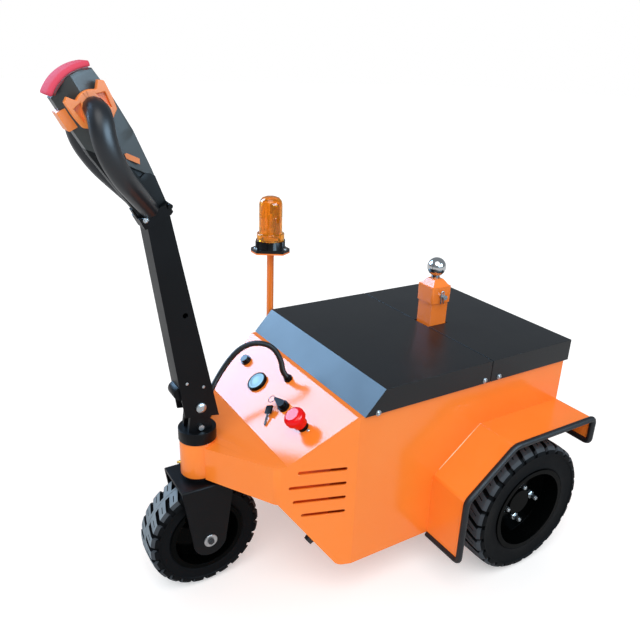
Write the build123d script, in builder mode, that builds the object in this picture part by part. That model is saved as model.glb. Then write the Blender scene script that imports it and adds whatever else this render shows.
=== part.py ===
"""Pedestrian-controlled electric tow tractor with a steered front wheel and a tilting tiller.

The tiller end faces +X, the left side faces +Y and Z is up. The origin lies on the floor
under the middle of the machine. All lengths are millimetres.
"""
import os
from math import cos, hypot, pi, radians, sin, tan

from build123d import *

os.makedirs("parts", exist_ok=True)

# Stance
rear_axle_x = -395
wheelbase = 736
steer_x = rear_axle_x + wheelbase
rear_radius = 178
rear_width = 118
front_radius = 140.5
front_width = 92
tyre_gap = 7

# Body
body_half = 264
rear_track = (body_half + tyre_gap + rear_width / 2) * 2
body_rear_x = -589
body_bottom = 110
sheet = 4
cover_top = 565.5
cover_gap = 4
cover_sheet = 3
cover_half = body_half + cover_gap + cover_sheet
cover_skirt = 57
cover_rear_gap = 8
cover_rear_x = body_rear_x - cover_rear_gap
cover_front_x = 8
cover_slope_run = 52
cover_seam_x = -313
fold_x = 68
taper_front_x = 241
taper_front_half = 206
neck_tip_half = 42
neck_bend = 26
console_top_x = 73
console_foot_x = 218
slope_foot_x = 100
slope_bend = 24
slope_head_share = 0.85
plate_drop = 5

# Steering head
head_radius = 42
head_length = 91
stem_radius = 20
running_gap = 0.05
thrust_gap = 0.5
cap_radius = 44
cap_height = 28.5
crown_gap = 6
fork_plate = 8
fork_collar_height = 10
fork_half = 62
fork_leg = 6
fork_length = 128
fork_round = 42
axle_radius = 10
washer_radius = 22
washer_height = 3
nut_radius = 15
nut_height = 9
fork_top_z = front_radius * 2 + crown_gap + fork_plate
head_bottom_z = fork_top_z + fork_collar_height + thrust_gap
head_top_z = head_bottom_z + head_length

# Neck of the body, around the steering head
neck_overlap = 3.5
neck_depth = 84
neck_rise = 14.5
neck_bottom_z = head_bottom_z - neck_overlap
neck_top_z = neck_bottom_z + neck_depth
console_foot_z = neck_top_z + neck_rise

# Tiller
pivot_rise = 90.5
pivot_z = head_top_z + pivot_rise
pivot_radius = 8
arm_half = 28
arm_wall = 4
lug_half = 22
lug_thickness = 10
lug_round = 20
lug_length = 56
head_lean = 28

body_seat_z = cover_top - cover_sheet
ledge_z = cover_top - cover_skirt
slope_x_per_z = cover_slope_run / cover_skirt
slope_inset = cover_sheet * hypot(cover_slope_run, cover_skirt) / cover_skirt
seat_front_x = cover_front_x + cover_sheet * slope_x_per_z - slope_inset
ledge_front_x = cover_front_x + cover_slope_run - slope_inset
slope_head_x = console_foot_x + (taper_front_x - console_foot_x) * slope_head_share

# Outline of the body seen from above, and of its side
plan_points = [
    (body_rear_x, body_half),
    (fold_x, body_half),
    (taper_front_x, taper_front_half),
    (steer_x, neck_tip_half),
    (steer_x, -neck_tip_half),
    (taper_front_x, -taper_front_half),
    (fold_x, -body_half),
    (body_rear_x, -body_half),
]
top_points = [
    (ledge_front_x, ledge_z),
    (console_top_x, ledge_z),
    (console_foot_x, console_foot_z),
    (steer_x, neck_top_z),
]
bottom_points = [
    (steer_x, neck_bottom_z),
    (slope_head_x, neck_bottom_z),
    (slope_foot_x, body_bottom),
    (body_rear_x, body_bottom),
]


def lowered(points, drop):
    """The same points, moved down."""
    return [(x, z - drop) for x, z in points]


def body_plan(inset):
    """Face of the body seen from above, set in by a wall, with the neck's rounded corners."""
    with BuildSketch(Plane.XY) as plan:
        with BuildLine():
            Polyline(plan_points, close=True)
        make_face()
        corners = plan.vertices().filter_by_position(Axis.X, fold_x + sheet, steer_x - sheet)
        fillet(corners, neck_bend)
        if inset > 0:
            offset(amount=-inset, mode=Mode.REPLACE)
    return plan.sketch


outer_plan = body_plan(0)
inner_plan = body_plan(sheet)

# Slots in the tapered side: their lengths, from the top one down
slot_lengths = [113, 133, 123, 103]
slot_drop = 20.5
slot_pitch = 38
slot_height = 9
slot_rear_gap = 22
axle_hole_radius = 36

taper_plane = Plane(
    origin=(fold_x, body_half, 0),
    x_dir=(taper_front_x - fold_x, taper_front_half - body_half, 0),
    z_dir=(taper_front_half - body_half, fold_x - taper_front_x, 0),
)

with BuildPart() as side_panel_left:
    with BuildSketch(Plane.XZ):
        with BuildLine():
            Polyline(
                [(body_rear_x + sheet, body_seat_z), (seat_front_x, body_seat_z), (ledge_front_x, ledge_z)]
                + lowered(top_points, plate_drop)
                + bottom_points[:3]
                + [(body_rear_x + sheet, body_bottom)],
                close=True,
            )
        make_face()
    extrude(amount=-body_half)
    foot = side_panel_left.edges().filter_by(Axis.Y).group_by(Axis.Z)[0].sort_by(Axis.X)[-1]
    fillet(foot, slope_bend)
    with BuildSketch(Plane.XY):
        add(outer_plan)
        add(inner_plan, mode=Mode.SUBTRACT)
    extrude(amount=cover_top, mode=Mode.INTERSECT)
    with BuildSketch(Plane.XY):
        with Locations((steer_x, 0)):
            Circle(head_radius)
    extrude(amount=cover_top, mode=Mode.SUBTRACT)
    for index, slot_length in enumerate(slot_lengths):
        slot_z = console_foot_z - slot_drop - slot_pitch * index
        with BuildSketch(taper_plane):
            with Locations((slot_rear_gap + slot_length / 2, slot_z)):
                SlotOverall(slot_length, slot_height)
        extrude(amount=sheet * 2, both=True, mode=Mode.SUBTRACT)
    with BuildSketch(Plane.XZ.offset(-body_half)):
        with Locations((rear_axle_x, rear_radius)):
            Circle(axle_hole_radius)
    extrude(amount=sheet * 2, both=True, mode=Mode.SUBTRACT)
side_panel_left.part.label = "side_panel_left"
export_step(side_panel_left.part, "parts/side_panel_left.step")

with BuildPart() as side_panel_right:
    add(side_panel_left.part.mirror(Plane.XZ))
side_panel_right.part.label = "side_panel_right"
export_step(side_panel_right.part, "parts/side_panel_right.step")

with BuildPart() as rear_panel:
    with BuildSketch(Plane.YZ.offset(body_rear_x)):
        with Locations((0, (body_seat_z + body_bottom) / 2)):
            Rectangle(body_half * 2, body_seat_z - body_bottom)
    extrude(amount=sheet)
rear_panel.part.label = "rear_panel"
export_step(rear_panel.part, "parts/rear_panel.step")

# Console and the top of the neck: one bent plate that lies on the side panels
with BuildPart() as console_panel:
    with BuildSketch(Plane.XZ):
        with BuildLine():
            Polyline(top_points + lowered(top_points, plate_drop)[::-1], close=True)
        make_face()
    extrude(amount=body_half, both=True)
    with BuildSketch(Plane.XY):
        add(outer_plan)
    extrude(amount=cover_top, mode=Mode.INTERSECT)
    with BuildSketch(Plane.XY):
        with Locations((steer_x, 0)):
            Circle(head_radius)
    extrude(amount=cover_top, mode=Mode.SUBTRACT)
console_panel.part.label = "console_panel"
export_step(console_panel.part, "parts/console_panel.step")

# Underside: neck floor, slope and belly in one bent plate between the side panels
with BuildPart() as belly_pan:
    with BuildSketch(Plane.XZ):
        with BuildLine():
            Polyline(
                bottom_points[:3]
                + [(body_rear_x + sheet, body_bottom), (body_rear_x + sheet, body_bottom + sheet)]
                + [(slope_foot_x - plate_drop, body_bottom + sheet)]
                + [(slope_head_x - plate_drop, neck_bottom_z + sheet), (steer_x, neck_bottom_z + sheet)],
                close=True,
            )
        make_face()
    extrude(amount=body_half, both=True)
    foot = belly_pan.edges().filter_by(Axis.Y).group_by(Axis.Z)[0].sort_by(Axis.X)[-1]
    fillet(foot, slope_bend)
    with BuildSketch(Plane.XY):
        add(inner_plan)
    extrude(amount=cover_top, mode=Mode.INTERSECT)
    with BuildSketch(Plane.XY):
        with Locations((steer_x, 0)):
            Circle(head_radius)
    extrude(amount=cover_top, mode=Mode.SUBTRACT)
belly_pan.part.label = "belly_pan"
export_step(belly_pan.part, "parts/belly_pan.step")

with BuildPart() as head_tube:
    with BuildSketch(Plane.XY.offset(head_bottom_z)):
        with Locations((steer_x, 0)):
            Circle(head_radius)
            Circle(stem_radius + running_gap, mode=Mode.SUBTRACT)
    extrude(amount=head_top_z - head_bottom_z)
    chamfer(head_tube.edges().filter_by(GeomType.CIRCLE).group_by(SortBy.RADIUS)[-1], thrust_gap)
head_tube.part.label = "head_tube"
export_step(head_tube.part, "parts/head_tube.step")

# Black cover over the batteries, in two sheets that meet at the tow post
post_size = 55
post_set_back = 33
post_x = cover_seam_x - post_set_back
post_gap = 1.5


def cover_piece(rear_x, front_x):
    """One sheet of the cover between two planes across the machine."""
    with BuildPart() as piece:
        with BuildSketch(Plane.XZ):
            with BuildLine():
                Polyline(
                    [
                        (cover_rear_x, ledge_z),
                        (cover_rear_x, cover_top),
                        (cover_front_x, cover_top),
                        (cover_front_x + cover_slope_run, ledge_z),
                    ],
                    close=True,
                )
            make_face()
        extrude(amount=cover_half, both=True)
        with BuildSketch(Plane.XZ):
            with BuildLine():
                Polyline(
                    [
                        (cover_rear_x + cover_sheet, ledge_z),
                        (cover_rear_x + cover_sheet, body_seat_z),
                        (seat_front_x, body_seat_z),
                        (ledge_front_x, ledge_z),
                    ],
                    close=True,
                )
            make_face()
        extrude(amount=cover_half - cover_sheet, both=True, mode=Mode.SUBTRACT)
        with BuildSketch(Plane.XY):
            with Locations(((rear_x + front_x) / 2, 0)):
                Rectangle(front_x - rear_x, cover_half * 2)
        extrude(amount=cover_top, mode=Mode.INTERSECT)
        with BuildSketch(Plane.XY):
            with Locations((post_x, 0)):
                Rectangle((cover_seam_x - post_x) * 2, post_size + post_gap * 2)
        extrude(amount=cover_top, mode=Mode.SUBTRACT)
    return piece


cover_front = cover_piece(cover_seam_x + post_gap, cover_front_x + cover_slope_run)
cover_front.part.label = "cover_front"
export_step(cover_front.part, "parts/cover_front.step")

cover_rear = cover_piece(cover_rear_x, cover_seam_x)
cover_rear.part.label = "cover_rear"
export_step(cover_rear.part, "parts/cover_rear.step")

# Battery block and drive axle inside the body
battery_length = 345
battery_width = 340
battery_height = 225
battery_x = -95
axle_block_length = 190
axle_block_width = 300
axle_block_height = 140
axle_tube_radius = 32
stub_radius = 15
panel_gap = 6
hub_inner_y = body_half + panel_gap

with BuildPart() as battery:
    with BuildSketch(Plane.XY.offset(body_bottom + sheet)):
        with Locations((battery_x, 0)):
            Rectangle(battery_length, battery_width)
    extrude(amount=battery_height)
battery.part.label = "battery"
export_step(battery.part, "parts/battery.step")

stub_reach = 14
stub_end_y = rear_track / 2 + stub_reach

with BuildPart() as drive_axle:
    with BuildSketch(Plane.XY.offset(body_bottom + sheet)):
        with Locations((rear_axle_x, 0)):
            Rectangle(axle_block_length, axle_block_width)
    extrude(amount=axle_block_height)
    with BuildSketch(Plane.XZ):
        with Locations((rear_axle_x, rear_radius)):
            Circle(axle_tube_radius)
    extrude(amount=body_half + thrust_gap, both=True)
    with BuildSketch(Plane.XZ):
        with Locations((rear_axle_x, rear_radius)):
            Circle(stub_radius)
    extrude(amount=stub_end_y, both=True)
drive_axle.part.label = "drive_axle"
export_step(drive_axle.part, "parts/drive_axle.step")

# Fenders: folded sheet over each rear wheel, with a rubber edge
fender_width = 124
fender_half = body_half + fender_width
fender_sheet = 3
fender_rise = 33
fender_top_z = rear_radius * 2 + fender_rise
fender_flange = 43
fender_rear_reach = 199
fender_shoulder_reach = 89
fender_foot_reach = 228
fender_fall = 110
fender_bend = 10
fender_corner = 14
trim_size = 10
trim_width = 12
fender_rear_x = rear_axle_x - fender_rear_reach
fender_foot_x = rear_axle_x + fender_foot_reach
fender_rear_z = fender_top_z - fender_flange


def fender_band(thickness, low_y, high_y, overrun):
    """Solid band along the fender's line, from one distance off the middle to another."""
    with BuildPart() as band:
        with BuildSketch(Plane.XZ.offset(-low_y)):
            with BuildLine():
                FilletPolyline(
                    (fender_rear_x, fender_rear_z - overrun),
                    (fender_rear_x, fender_top_z),
                    (rear_axle_x + fender_shoulder_reach, fender_top_z),
                    (fender_foot_x, fender_top_z - fender_fall),
                    (fender_foot_x, body_bottom - overrun),
                    radius=fender_bend,
                )
                offset(amount=thickness / 2, kind=Kind.INTERSECTION)
            make_face()
        extrude(amount=low_y - high_y)
    return band.part


def fender_window(outward, downward, corner):
    """Blocks over both ends of the fender, each with its lower outer corner rounded."""
    with BuildPart() as window:
        for foot_z, low_x, high_x in (
            (fender_rear_z, fender_rear_x - trim_size, rear_axle_x),
            (body_bottom, rear_axle_x, fender_foot_x + trim_size),
        ):
            with BuildSketch(Plane.YZ.offset(low_x)) as end:
                with Locations((body_half, foot_z - downward)):
                    Rectangle(
                        fender_width + outward,
                        fender_top_z + trim_size - foot_z + downward,
                        align=(Align.MIN, Align.MIN),
                    )
                fillet(end.vertices().group_by(Axis.Y)[0].sort_by(Axis.X)[-1], corner)
            extrude(amount=high_x - low_x)
    return window.part


with BuildPart() as fender_left:
    add(fender_band(fender_sheet, body_half, fender_half, 0))
    add(fender_window(0, 0, fender_corner), mode=Mode.INTERSECT)
fender_blank = fender_left.part
fender_left.part.label = "fender_left"
export_step(fender_left.part, "parts/fender_left.step")

with BuildPart() as fender_right:
    add(fender_blank.mirror(Plane.XZ))
fender_right.part.label = "fender_right"
export_step(fender_right.part, "parts/fender_right.step")

with BuildPart() as fender_trim_left:
    add(fender_band(trim_size, body_half, fender_half + fender_sheet, trim_size / 2))
    add(fender_window(fender_sheet, trim_size / 2, fender_corner + trim_size / 2), mode=Mode.INTERSECT)
    add(fender_window(-trim_width, -trim_size / 2, fender_corner - trim_size / 2), mode=Mode.SUBTRACT)
    add(fender_blank, mode=Mode.SUBTRACT)
fender_trim_left.part.label = "fender_trim_left"
export_step(fender_trim_left.part, "parts/fender_trim_left.step")

with BuildPart() as fender_trim_right:
    add(fender_trim_left.part.mirror(Plane.XZ))
fender_trim_right.part.label = "fender_trim_right"
export_step(fender_trim_right.part, "parts/fender_trim_right.step")

# Tow post, its collar and the ball
post_foot_z = body_bottom + sheet + axle_block_height
post_top_z = 655
post_wall = 5
collar_size = 63
collar_round = 4
collar_bottom_z = 628
collar_top_z = 673
collar_gap = 0.2
crown_top_z = 690
crown_size = 30
ball_radius = 25
ball_z = 722
ball_neck_radius = 12
pin_z = 648
pin_radius = 6.5
pin_gap = 0.25
pin_reach = 16

with BuildPart() as tow_post:
    with BuildSketch(Plane.XY.offset(post_foot_z)):
        with Locations((post_x, 0)):
            Rectangle(post_size, post_size)
            Rectangle(post_size - post_wall * 2, post_size - post_wall * 2, mode=Mode.SUBTRACT)
    extrude(amount=post_top_z - post_foot_z)
    with BuildSketch(Plane.XZ):
        with Locations((post_x, pin_z)):
            Circle(pin_radius + pin_gap)
    extrude(amount=post_size, both=True, mode=Mode.SUBTRACT)
tow_post.part.label = "tow_post"
export_step(tow_post.part, "parts/tow_post.step")

with BuildPart() as tow_collar:
    with BuildSketch(Plane.XY.offset(collar_bottom_z)):
        with Locations((post_x, 0)):
            Rectangle(collar_size, collar_size)
    extrude(amount=collar_top_z - collar_bottom_z)
    fillet(tow_collar.edges().filter_by(Axis.Z), collar_round)
    with BuildSketch(Plane.XY.offset(collar_top_z)):
        with Locations((post_x, 0)):
            Rectangle(collar_size - sheet * 2, collar_size - sheet * 2)
    with BuildSketch(Plane.XY.offset(crown_top_z)):
        with Locations((post_x, 0)):
            Rectangle(crown_size, crown_size)
    loft()
    with BuildSketch(Plane.XY.offset(collar_bottom_z)):
        with Locations((post_x, 0)):
            Rectangle(post_size + collar_gap * 2, post_size + collar_gap * 2)
    extrude(amount=post_top_z - collar_bottom_z, mode=Mode.SUBTRACT)
    with BuildSketch(Plane.XZ):
        with Locations((post_x, pin_z)):
            Circle(pin_radius + pin_gap)
    extrude(amount=collar_size, both=True, mode=Mode.SUBTRACT)
tow_collar.part.label = "tow_collar"
export_step(tow_collar.part, "parts/tow_collar.step")

with BuildPart() as tow_ball:
    with BuildSketch(Plane.XY.offset(crown_top_z)):
        with Locations((post_x, 0)):
            Circle(ball_neck_radius)
    extrude(amount=ball_z - crown_top_z)
    with Locations((post_x, 0, ball_z)):
        Sphere(ball_radius)
tow_ball.part.label = "tow_ball"
export_step(tow_ball.part, "parts/tow_ball.step")

# Hairpin clip through the pin's end: one leg in the pin, the other beside it
clip_wire = 1.75
clip_rise = 16
clip_fall = 18
clip_bend = 4
clip_y = (collar_size + pin_reach) / 2
clip_side_x = post_x + pin_radius + clip_wire + pin_gap
clip_points = [
    Vector(post_x, clip_y, pin_z - clip_fall),
    Vector(post_x, clip_y, pin_z + clip_rise),
    Vector(clip_side_x, clip_y, pin_z + clip_rise),
    Vector(clip_side_x, clip_y, pin_z - clip_fall),
]

with BuildPart() as tow_pin:
    with BuildSketch(Plane.XZ.offset(-(collar_size / 2 + pin_reach))):
        with Locations((post_x, pin_z)):
            Circle(pin_radius)
    extrude(amount=collar_size + pin_reach * 2)
    with BuildSketch(Plane.XZ.offset(collar_size / 2)):
        with Locations((post_x, pin_z)):
            Circle(pin_radius + sheet)
    extrude(amount=sheet)
    with BuildLine():
        FilletPolyline(*clip_points, radius=clip_bend)
    with BuildSketch(Plane.XY.offset(pin_z - clip_fall)):
        with Locations((post_x, clip_y)):
            Circle(clip_wire)
    sweep()
tow_pin.part.label = "tow_pin"
export_step(tow_pin.part, "parts/tow_pin.step")

# Beacon on a pole at the right side
pole_x = 3
pole_stand = 26
pole_y = -(body_half + pole_stand)
pole_radius = 9.75
pole_foot_z = 250
pole_plate_z = 729
pole_plate = 4
ear_reach = 51.5
ear_half = 18
ear_round = 4
beacon_flange = 8
beacon_base_radius = 40
beacon_base_height = 21
beacon_boss_radius = 9
beacon_boss_circle = 36
beacon_collar_radius = 37.5
beacon_collar_height = 20
beacon_lens_radius = 31.5
beacon_top_z = 881
beacon_round = 20
pole_tab_height = 30
pole_tab_heights = (270, 470)
pole_tab = 5

# The beacon's foot is a triangle with its three corners cut square, one of them to the front
with BuildSketch() as eared_foot:
    with PolarLocations(ear_reach / 2, 3):
        Rectangle(ear_reach, ear_half * 2)
    make_hull()
    fillet(eared_foot.vertices(), ear_round)

with BuildPart() as beacon_pole:
    with BuildSketch(Plane.XY.offset(pole_foot_z)):
        with Locations((pole_x, pole_y)):
            Circle(pole_radius)
    extrude(amount=pole_plate_z - pole_foot_z)
    for tab_z in pole_tab_heights:
        with BuildSketch(Plane.XY.offset(tab_z)):
            with Locations((pole_x, (pole_y - body_half) / 2)):
                Rectangle(pole_tab, -pole_y - body_half)
        extrude(amount=pole_tab_height)
    with BuildSketch(Plane.XY.offset(pole_plate_z)):
        with Locations((pole_x, pole_y)):
            add(eared_foot.sketch)
    extrude(amount=pole_plate)
beacon_pole.part.label = "beacon_pole"
export_step(beacon_pole.part, "parts/beacon_pole.step")

beacon_z = pole_plate_z + pole_plate

with BuildPart() as beacon_base:
    with BuildSketch(Plane.XY.offset(beacon_z)):
        with Locations((pole_x, pole_y)):
            add(eared_foot.sketch)
    extrude(amount=beacon_flange)
    with BuildSketch(Plane.XY.offset(beacon_z + beacon_flange)):
        with Locations((pole_x, pole_y)):
            Circle(beacon_base_radius)
            with PolarLocations(beacon_boss_circle, 3):
                Circle(beacon_boss_radius)
    extrude(amount=beacon_base_height)
beacon_base.part.label = "beacon_base"
export_step(beacon_base.part, "parts/beacon_base.step")

beacon_lens_z = beacon_z + beacon_flange + beacon_base_height

with BuildPart() as beacon_lens:
    with BuildSketch(Plane.XY.offset(beacon_lens_z)):
        with Locations((pole_x, pole_y)):
            Circle(beacon_collar_radius)
    extrude(amount=beacon_collar_height)
    with BuildSketch(Plane.XY.offset(beacon_lens_z)):
        with Locations((pole_x, pole_y)):
            Circle(beacon_lens_radius)
    extrude(amount=beacon_top_z - beacon_lens_z)
    fillet(beacon_lens.faces().sort_by(Axis.Z)[-1].edges(), beacon_round)
beacon_lens.part.label = "beacon_lens"
export_step(beacon_lens.part, "parts/beacon_lens.step")

# Console fittings, on the plane of the sloped panel
console = Plane(
    origin=(console_top_x, 0, ledge_z),
    x_dir=(console_foot_x - console_top_x, 0, console_foot_z - ledge_z),
    z_dir=(ledge_z - console_foot_z, 0, console_foot_x - console_top_x),
)
console_axis = Axis(console.origin, console.z_dir)
gauge_along = 90
gauge_y = -79
gauge_radius = 27
gauge_height = 9
gauge_rim = 4
gauge_recess = 2
key_along = 91
key_y = 64
key_radius = 14
key_height = 10
key_lever_height = 9
key_lever_reach = 27
key_lever_radius = 10
key_lever_tip = 3
stop_along = 95
stop_inset = 104
stop_y = body_half - stop_inset
stop_base_radius = 13
stop_base_height = 14
stop_neck_radius = 17
stop_neck_height = 17
stop_head_radius = 25
stop_head_height = 21
stop_round = 11
stop_rim_round = 4
socket_along = 68
socket_inset = 82
socket_y = socket_inset - body_half
socket_radius = 14
socket_height = 7
socket_cap_radius = 11
socket_cap_height = 7
gland_along = 33
gland_y = 0
gland_radius = 11
gland_height = 12
gland_nut_height = 7

with BuildPart() as gauge:
    with BuildSketch(console):
        with Locations((gauge_along, gauge_y)):
            Circle(gauge_radius)
    extrude(amount=gauge_height)
    chamfer(gauge.faces().sort_by(console_axis)[-1].edges(), gauge_recess)
    with BuildSketch(console.offset(gauge_height - gauge_recess)):
        with Locations((gauge_along, gauge_y)):
            Circle(gauge_radius - gauge_rim)
    extrude(amount=gauge_height, mode=Mode.SUBTRACT)
gauge.part.label = "gauge"
export_step(gauge.part, "parts/gauge.step")

with BuildPart() as key_switch:
    with BuildSketch(console):
        with Locations((key_along, key_y)):
            Circle(key_radius)
    extrude(amount=key_height)
    with BuildSketch(console.offset(key_height)):
        with Locations((key_along, key_y)):
            Circle(key_lever_radius)
        with Locations((key_along, key_y - key_lever_reach)):
            Circle(key_lever_tip)
        make_hull()
    extrude(amount=key_lever_height)
key_switch.part.label = "key_switch"
export_step(key_switch.part, "parts/key_switch.step")

with BuildPart() as stop_base:
    with BuildSketch(console):
        with Locations((stop_along, stop_y)):
            Circle(stop_base_radius)
    extrude(amount=stop_base_height)
stop_base.part.label = "stop_base"
export_step(stop_base.part, "parts/stop_base.step")

with BuildPart() as stop_button:
    with BuildSketch(console.offset(stop_base_height)):
        with Locations((stop_along, stop_y)):
            Circle(stop_neck_radius)
    extrude(amount=stop_neck_height)
    with BuildSketch(console.offset(stop_base_height + stop_neck_height)):
        with Locations((stop_along, stop_y)):
            Circle(stop_head_radius)
    extrude(amount=stop_head_height)
    stop_rims = stop_button.edges().filter_by(GeomType.CIRCLE).group_by(SortBy.RADIUS)[-1]
    fillet(stop_rims.sort_by(console_axis)[-1], stop_round)
    fillet(stop_rims.sort_by(console_axis)[0], stop_rim_round)
stop_button.part.label = "stop_button"
export_step(stop_button.part, "parts/stop_button.step")

with BuildPart() as socket:
    with BuildSketch(console):
        with Locations((socket_along, socket_y)):
            Circle(socket_radius)
    extrude(amount=socket_height)
    with BuildSketch(console.offset(socket_height)):
        with Locations((socket_along, socket_y)):
            Circle(socket_cap_radius)
    extrude(amount=socket_cap_height)
socket.part.label = "socket"
export_step(socket.part, "parts/socket.step")

# Control hose from the console's gland over to a grommet on the neck
hose_radius = 6
gland_plane = console.offset(gland_height)
gland_top = gland_plane.from_local_coords((gland_along, gland_y, 0))
grommet_x = 283
grommet_y = -82
grommet_height = 12
grommet_radius = 11
neck_fall = (console_foot_z - neck_top_z) / (steer_x - console_foot_x)
grommet_z = console_foot_z - neck_fall * (grommet_x - console_foot_x)

with BuildPart() as hose_gland:
    with BuildSketch(console):
        with Locations((gland_along, gland_y)):
            RegularPolygon(gland_radius, 6)
    extrude(amount=gland_nut_height)
    with BuildSketch(console.offset(gland_nut_height)):
        with Locations((gland_along, gland_y)):
            Circle((gland_radius + hose_radius) / 2)
    extrude(amount=gland_height - gland_nut_height)
hose_gland.part.label = "hose_gland"
export_step(hose_gland.part, "parts/hose_gland.step")

neck_top_plane = Plane(
    origin=(grommet_x, grommet_y, grommet_z),
    x_dir=(steer_x - console_foot_x, 0, neck_top_z - console_foot_z),
    z_dir=(console_foot_z - neck_top_z, 0, steer_x - console_foot_x),
)

with BuildPart() as hose_grommet:
    with BuildSketch(neck_top_plane):
        Circle(grommet_radius)
    extrude(amount=grommet_height)
hose_grommet.part.label = "hose_grommet"
export_step(hose_grommet.part, "parts/hose_grommet.step")

hose_exit = 20
hose_start = gland_top
hose_end = neck_top_plane.from_local_coords((0, 0, grommet_height))
hose_points = [
    hose_start,
    gland_top + console.z_dir * hose_exit,
    Vector(126, -9, 546),
    Vector(143, -33, 578),
    Vector(176, -60, 585),
    Vector(204, -80, 566),
    Vector(226, -94, 533),
    Vector(247, -102, 495),
    Vector(268, -98, 458),
    hose_end + neck_top_plane.z_dir * hose_exit,
    hose_end,
]
arc_share = 0.45
hose_runs = [(b - a).length for a, b in zip(hose_points, hose_points[1:])]
hose_radii = []
for index in range(1, len(hose_points) - 1):
    before = hose_points[index] - hose_points[index - 1]
    after = hose_points[index + 1] - hose_points[index]
    half_turn = radians(before.get_angle(after)) / 2
    hose_radii.append(arc_share * min(hose_runs[index - 1], hose_runs[index]) / tan(half_turn))
print("hose radii", [round(radius) for radius in hose_radii])

with BuildPart() as hose:
    with BuildLine() as hose_path:
        FilletPolyline(*hose_points, radius=hose_radii)
    with BuildSketch(Plane(origin=hose_start, z_dir=hose_path.wire() % 0)):
        Circle(hose_radius)
    sweep()
hose_length = hose_path.wire().length
hose_fill = hose.part.volume / (pi * hose_radius**2 * hose_length)
print("hose length", round(hose_length), "volume ratio", round(hose_fill, 3))
hose.part.label = "hose"
export_step(hose.part, "parts/hose.step")

# Steering: fork with its stem, cap with the tiller's lugs, and the wheel's axle
fork_collar_radius = 36
fork_bend = 6
lug_crown = 4

with BuildPart() as fork:
    with BuildSketch(Plane.YZ.offset(steer_x)):
        with Locations((0, fork_top_z / 2)):
            Rectangle(fork_half * 2, fork_top_z)
        with Locations((0, (fork_top_z - fork_plate) / 2)):
            Rectangle((fork_half - fork_leg) * 2, fork_top_z - fork_plate, mode=Mode.SUBTRACT)
    extrude(amount=fork_length, both=True)
    fillet(fork.edges().filter_by(Axis.X).group_by(Axis.Z)[-1], fork_bend)
    with BuildSketch(Plane.XZ):
        with BuildLine():
            Polyline(
                [
                    (steer_x - fork_length / 2, fork_top_z),
                    (steer_x - fork_length / 2, fork_top_z - fork_plate),
                    (steer_x - fork_round, front_radius),
                    (steer_x + fork_round, front_radius),
                    (steer_x + fork_length / 2, fork_top_z - fork_plate),
                    (steer_x + fork_length / 2, fork_top_z),
                ],
                close=True,
            )
        make_face()
        with Locations((steer_x, front_radius)):
            Circle(fork_round)
    extrude(amount=fork_half, both=True, mode=Mode.INTERSECT)
    with BuildSketch(Plane.XZ):
        with Locations((steer_x, front_radius)):
            Circle(axle_radius)
    extrude(amount=fork_half, both=True, mode=Mode.SUBTRACT)
    with BuildSketch(Plane.XY.offset(fork_top_z)):
        with Locations((steer_x, 0)):
            Circle(fork_collar_radius)
    extrude(amount=head_bottom_z - thrust_gap - fork_top_z)
    with BuildSketch(Plane.XY.offset(fork_top_z)):
        with Locations((steer_x, 0)):
            Circle(stem_radius)
    extrude(amount=head_top_z + thrust_gap - fork_top_z)
fork.part.label = "fork"
export_step(fork.part, "parts/fork.step")

cap_z = head_top_z + thrust_gap
lug_bolt_rise = 8.5
lug_bolt_radius = 4
lug_bolt_head = 6.5
lug_bolt_crown = 7
lug_bolt_z = cap_z + cap_height + lug_bolt_rise

with BuildPart() as steering_cap:
    with BuildSketch(Plane.XY.offset(cap_z)):
        with Locations((steer_x, 0)):
            Circle(cap_radius)
    extrude(amount=cap_height)
    fillet(steering_cap.edges().filter_by(GeomType.CIRCLE).group_by(Axis.Z)[-1], thrust_gap * 2)
    for side in (1, -1):
        with BuildSketch(Plane.XZ.offset(-side * lug_half)):
            with Locations((steer_x, pivot_z)):
                Circle(lug_round)
            with Locations((steer_x, cap_z + cap_height + lug_crown / 2)):
                Rectangle(lug_length, lug_crown)
            make_hull()
            with Locations((steer_x, pivot_z)):
                Circle(pivot_radius + running_gap, mode=Mode.SUBTRACT)
        extrude(amount=side * lug_thickness)
    with BuildSketch(Plane.XZ):
        with Locations((steer_x, lug_bolt_z)):
            Circle(lug_bolt_radius + running_gap)
    extrude(amount=cap_radius, both=True, mode=Mode.SUBTRACT)
steering_cap.part.label = "steering_cap"
export_step(steering_cap.part, "parts/steering_cap.step")

# Bolt across the foot of both lugs
with BuildPart() as lug_bolt:
    with BuildSketch(Plane.XZ):
        with Locations((steer_x, lug_bolt_z)):
            Circle(lug_bolt_radius)
    extrude(amount=lug_half, both=True)
    for side in (1, -1):
        with BuildSketch(Plane.XZ.offset(-side * lug_half)):
            with Locations((steer_x, lug_bolt_z)):
                Circle(lug_bolt_head)
        extrude(amount=-side * lug_bolt_crown)
lug_bolt.part.label = "lug_bolt"
export_step(lug_bolt.part, "parts/lug_bolt.step")

with BuildPart() as front_axle:
    with BuildSketch(Plane.XZ):
        with Locations((steer_x, front_radius)):
            Circle(axle_radius)
    extrude(amount=fork_half + washer_height + nut_height + sheet, both=True)
    for side in (1, -1):
        with BuildSketch(Plane.XZ.offset(-side * fork_half)):
            with Locations((steer_x, front_radius)):
                Circle(washer_radius)
        extrude(amount=-side * washer_height)
        with BuildSketch(Plane.XZ.offset(-side * (fork_half + washer_height))):
            with Locations((steer_x, front_radius)):
                RegularPolygon(nut_radius, 6)
        extrude(amount=-side * nut_height)
front_axle.part.label = "front_axle"
export_step(front_axle.part, "parts/front_axle.step")

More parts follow.
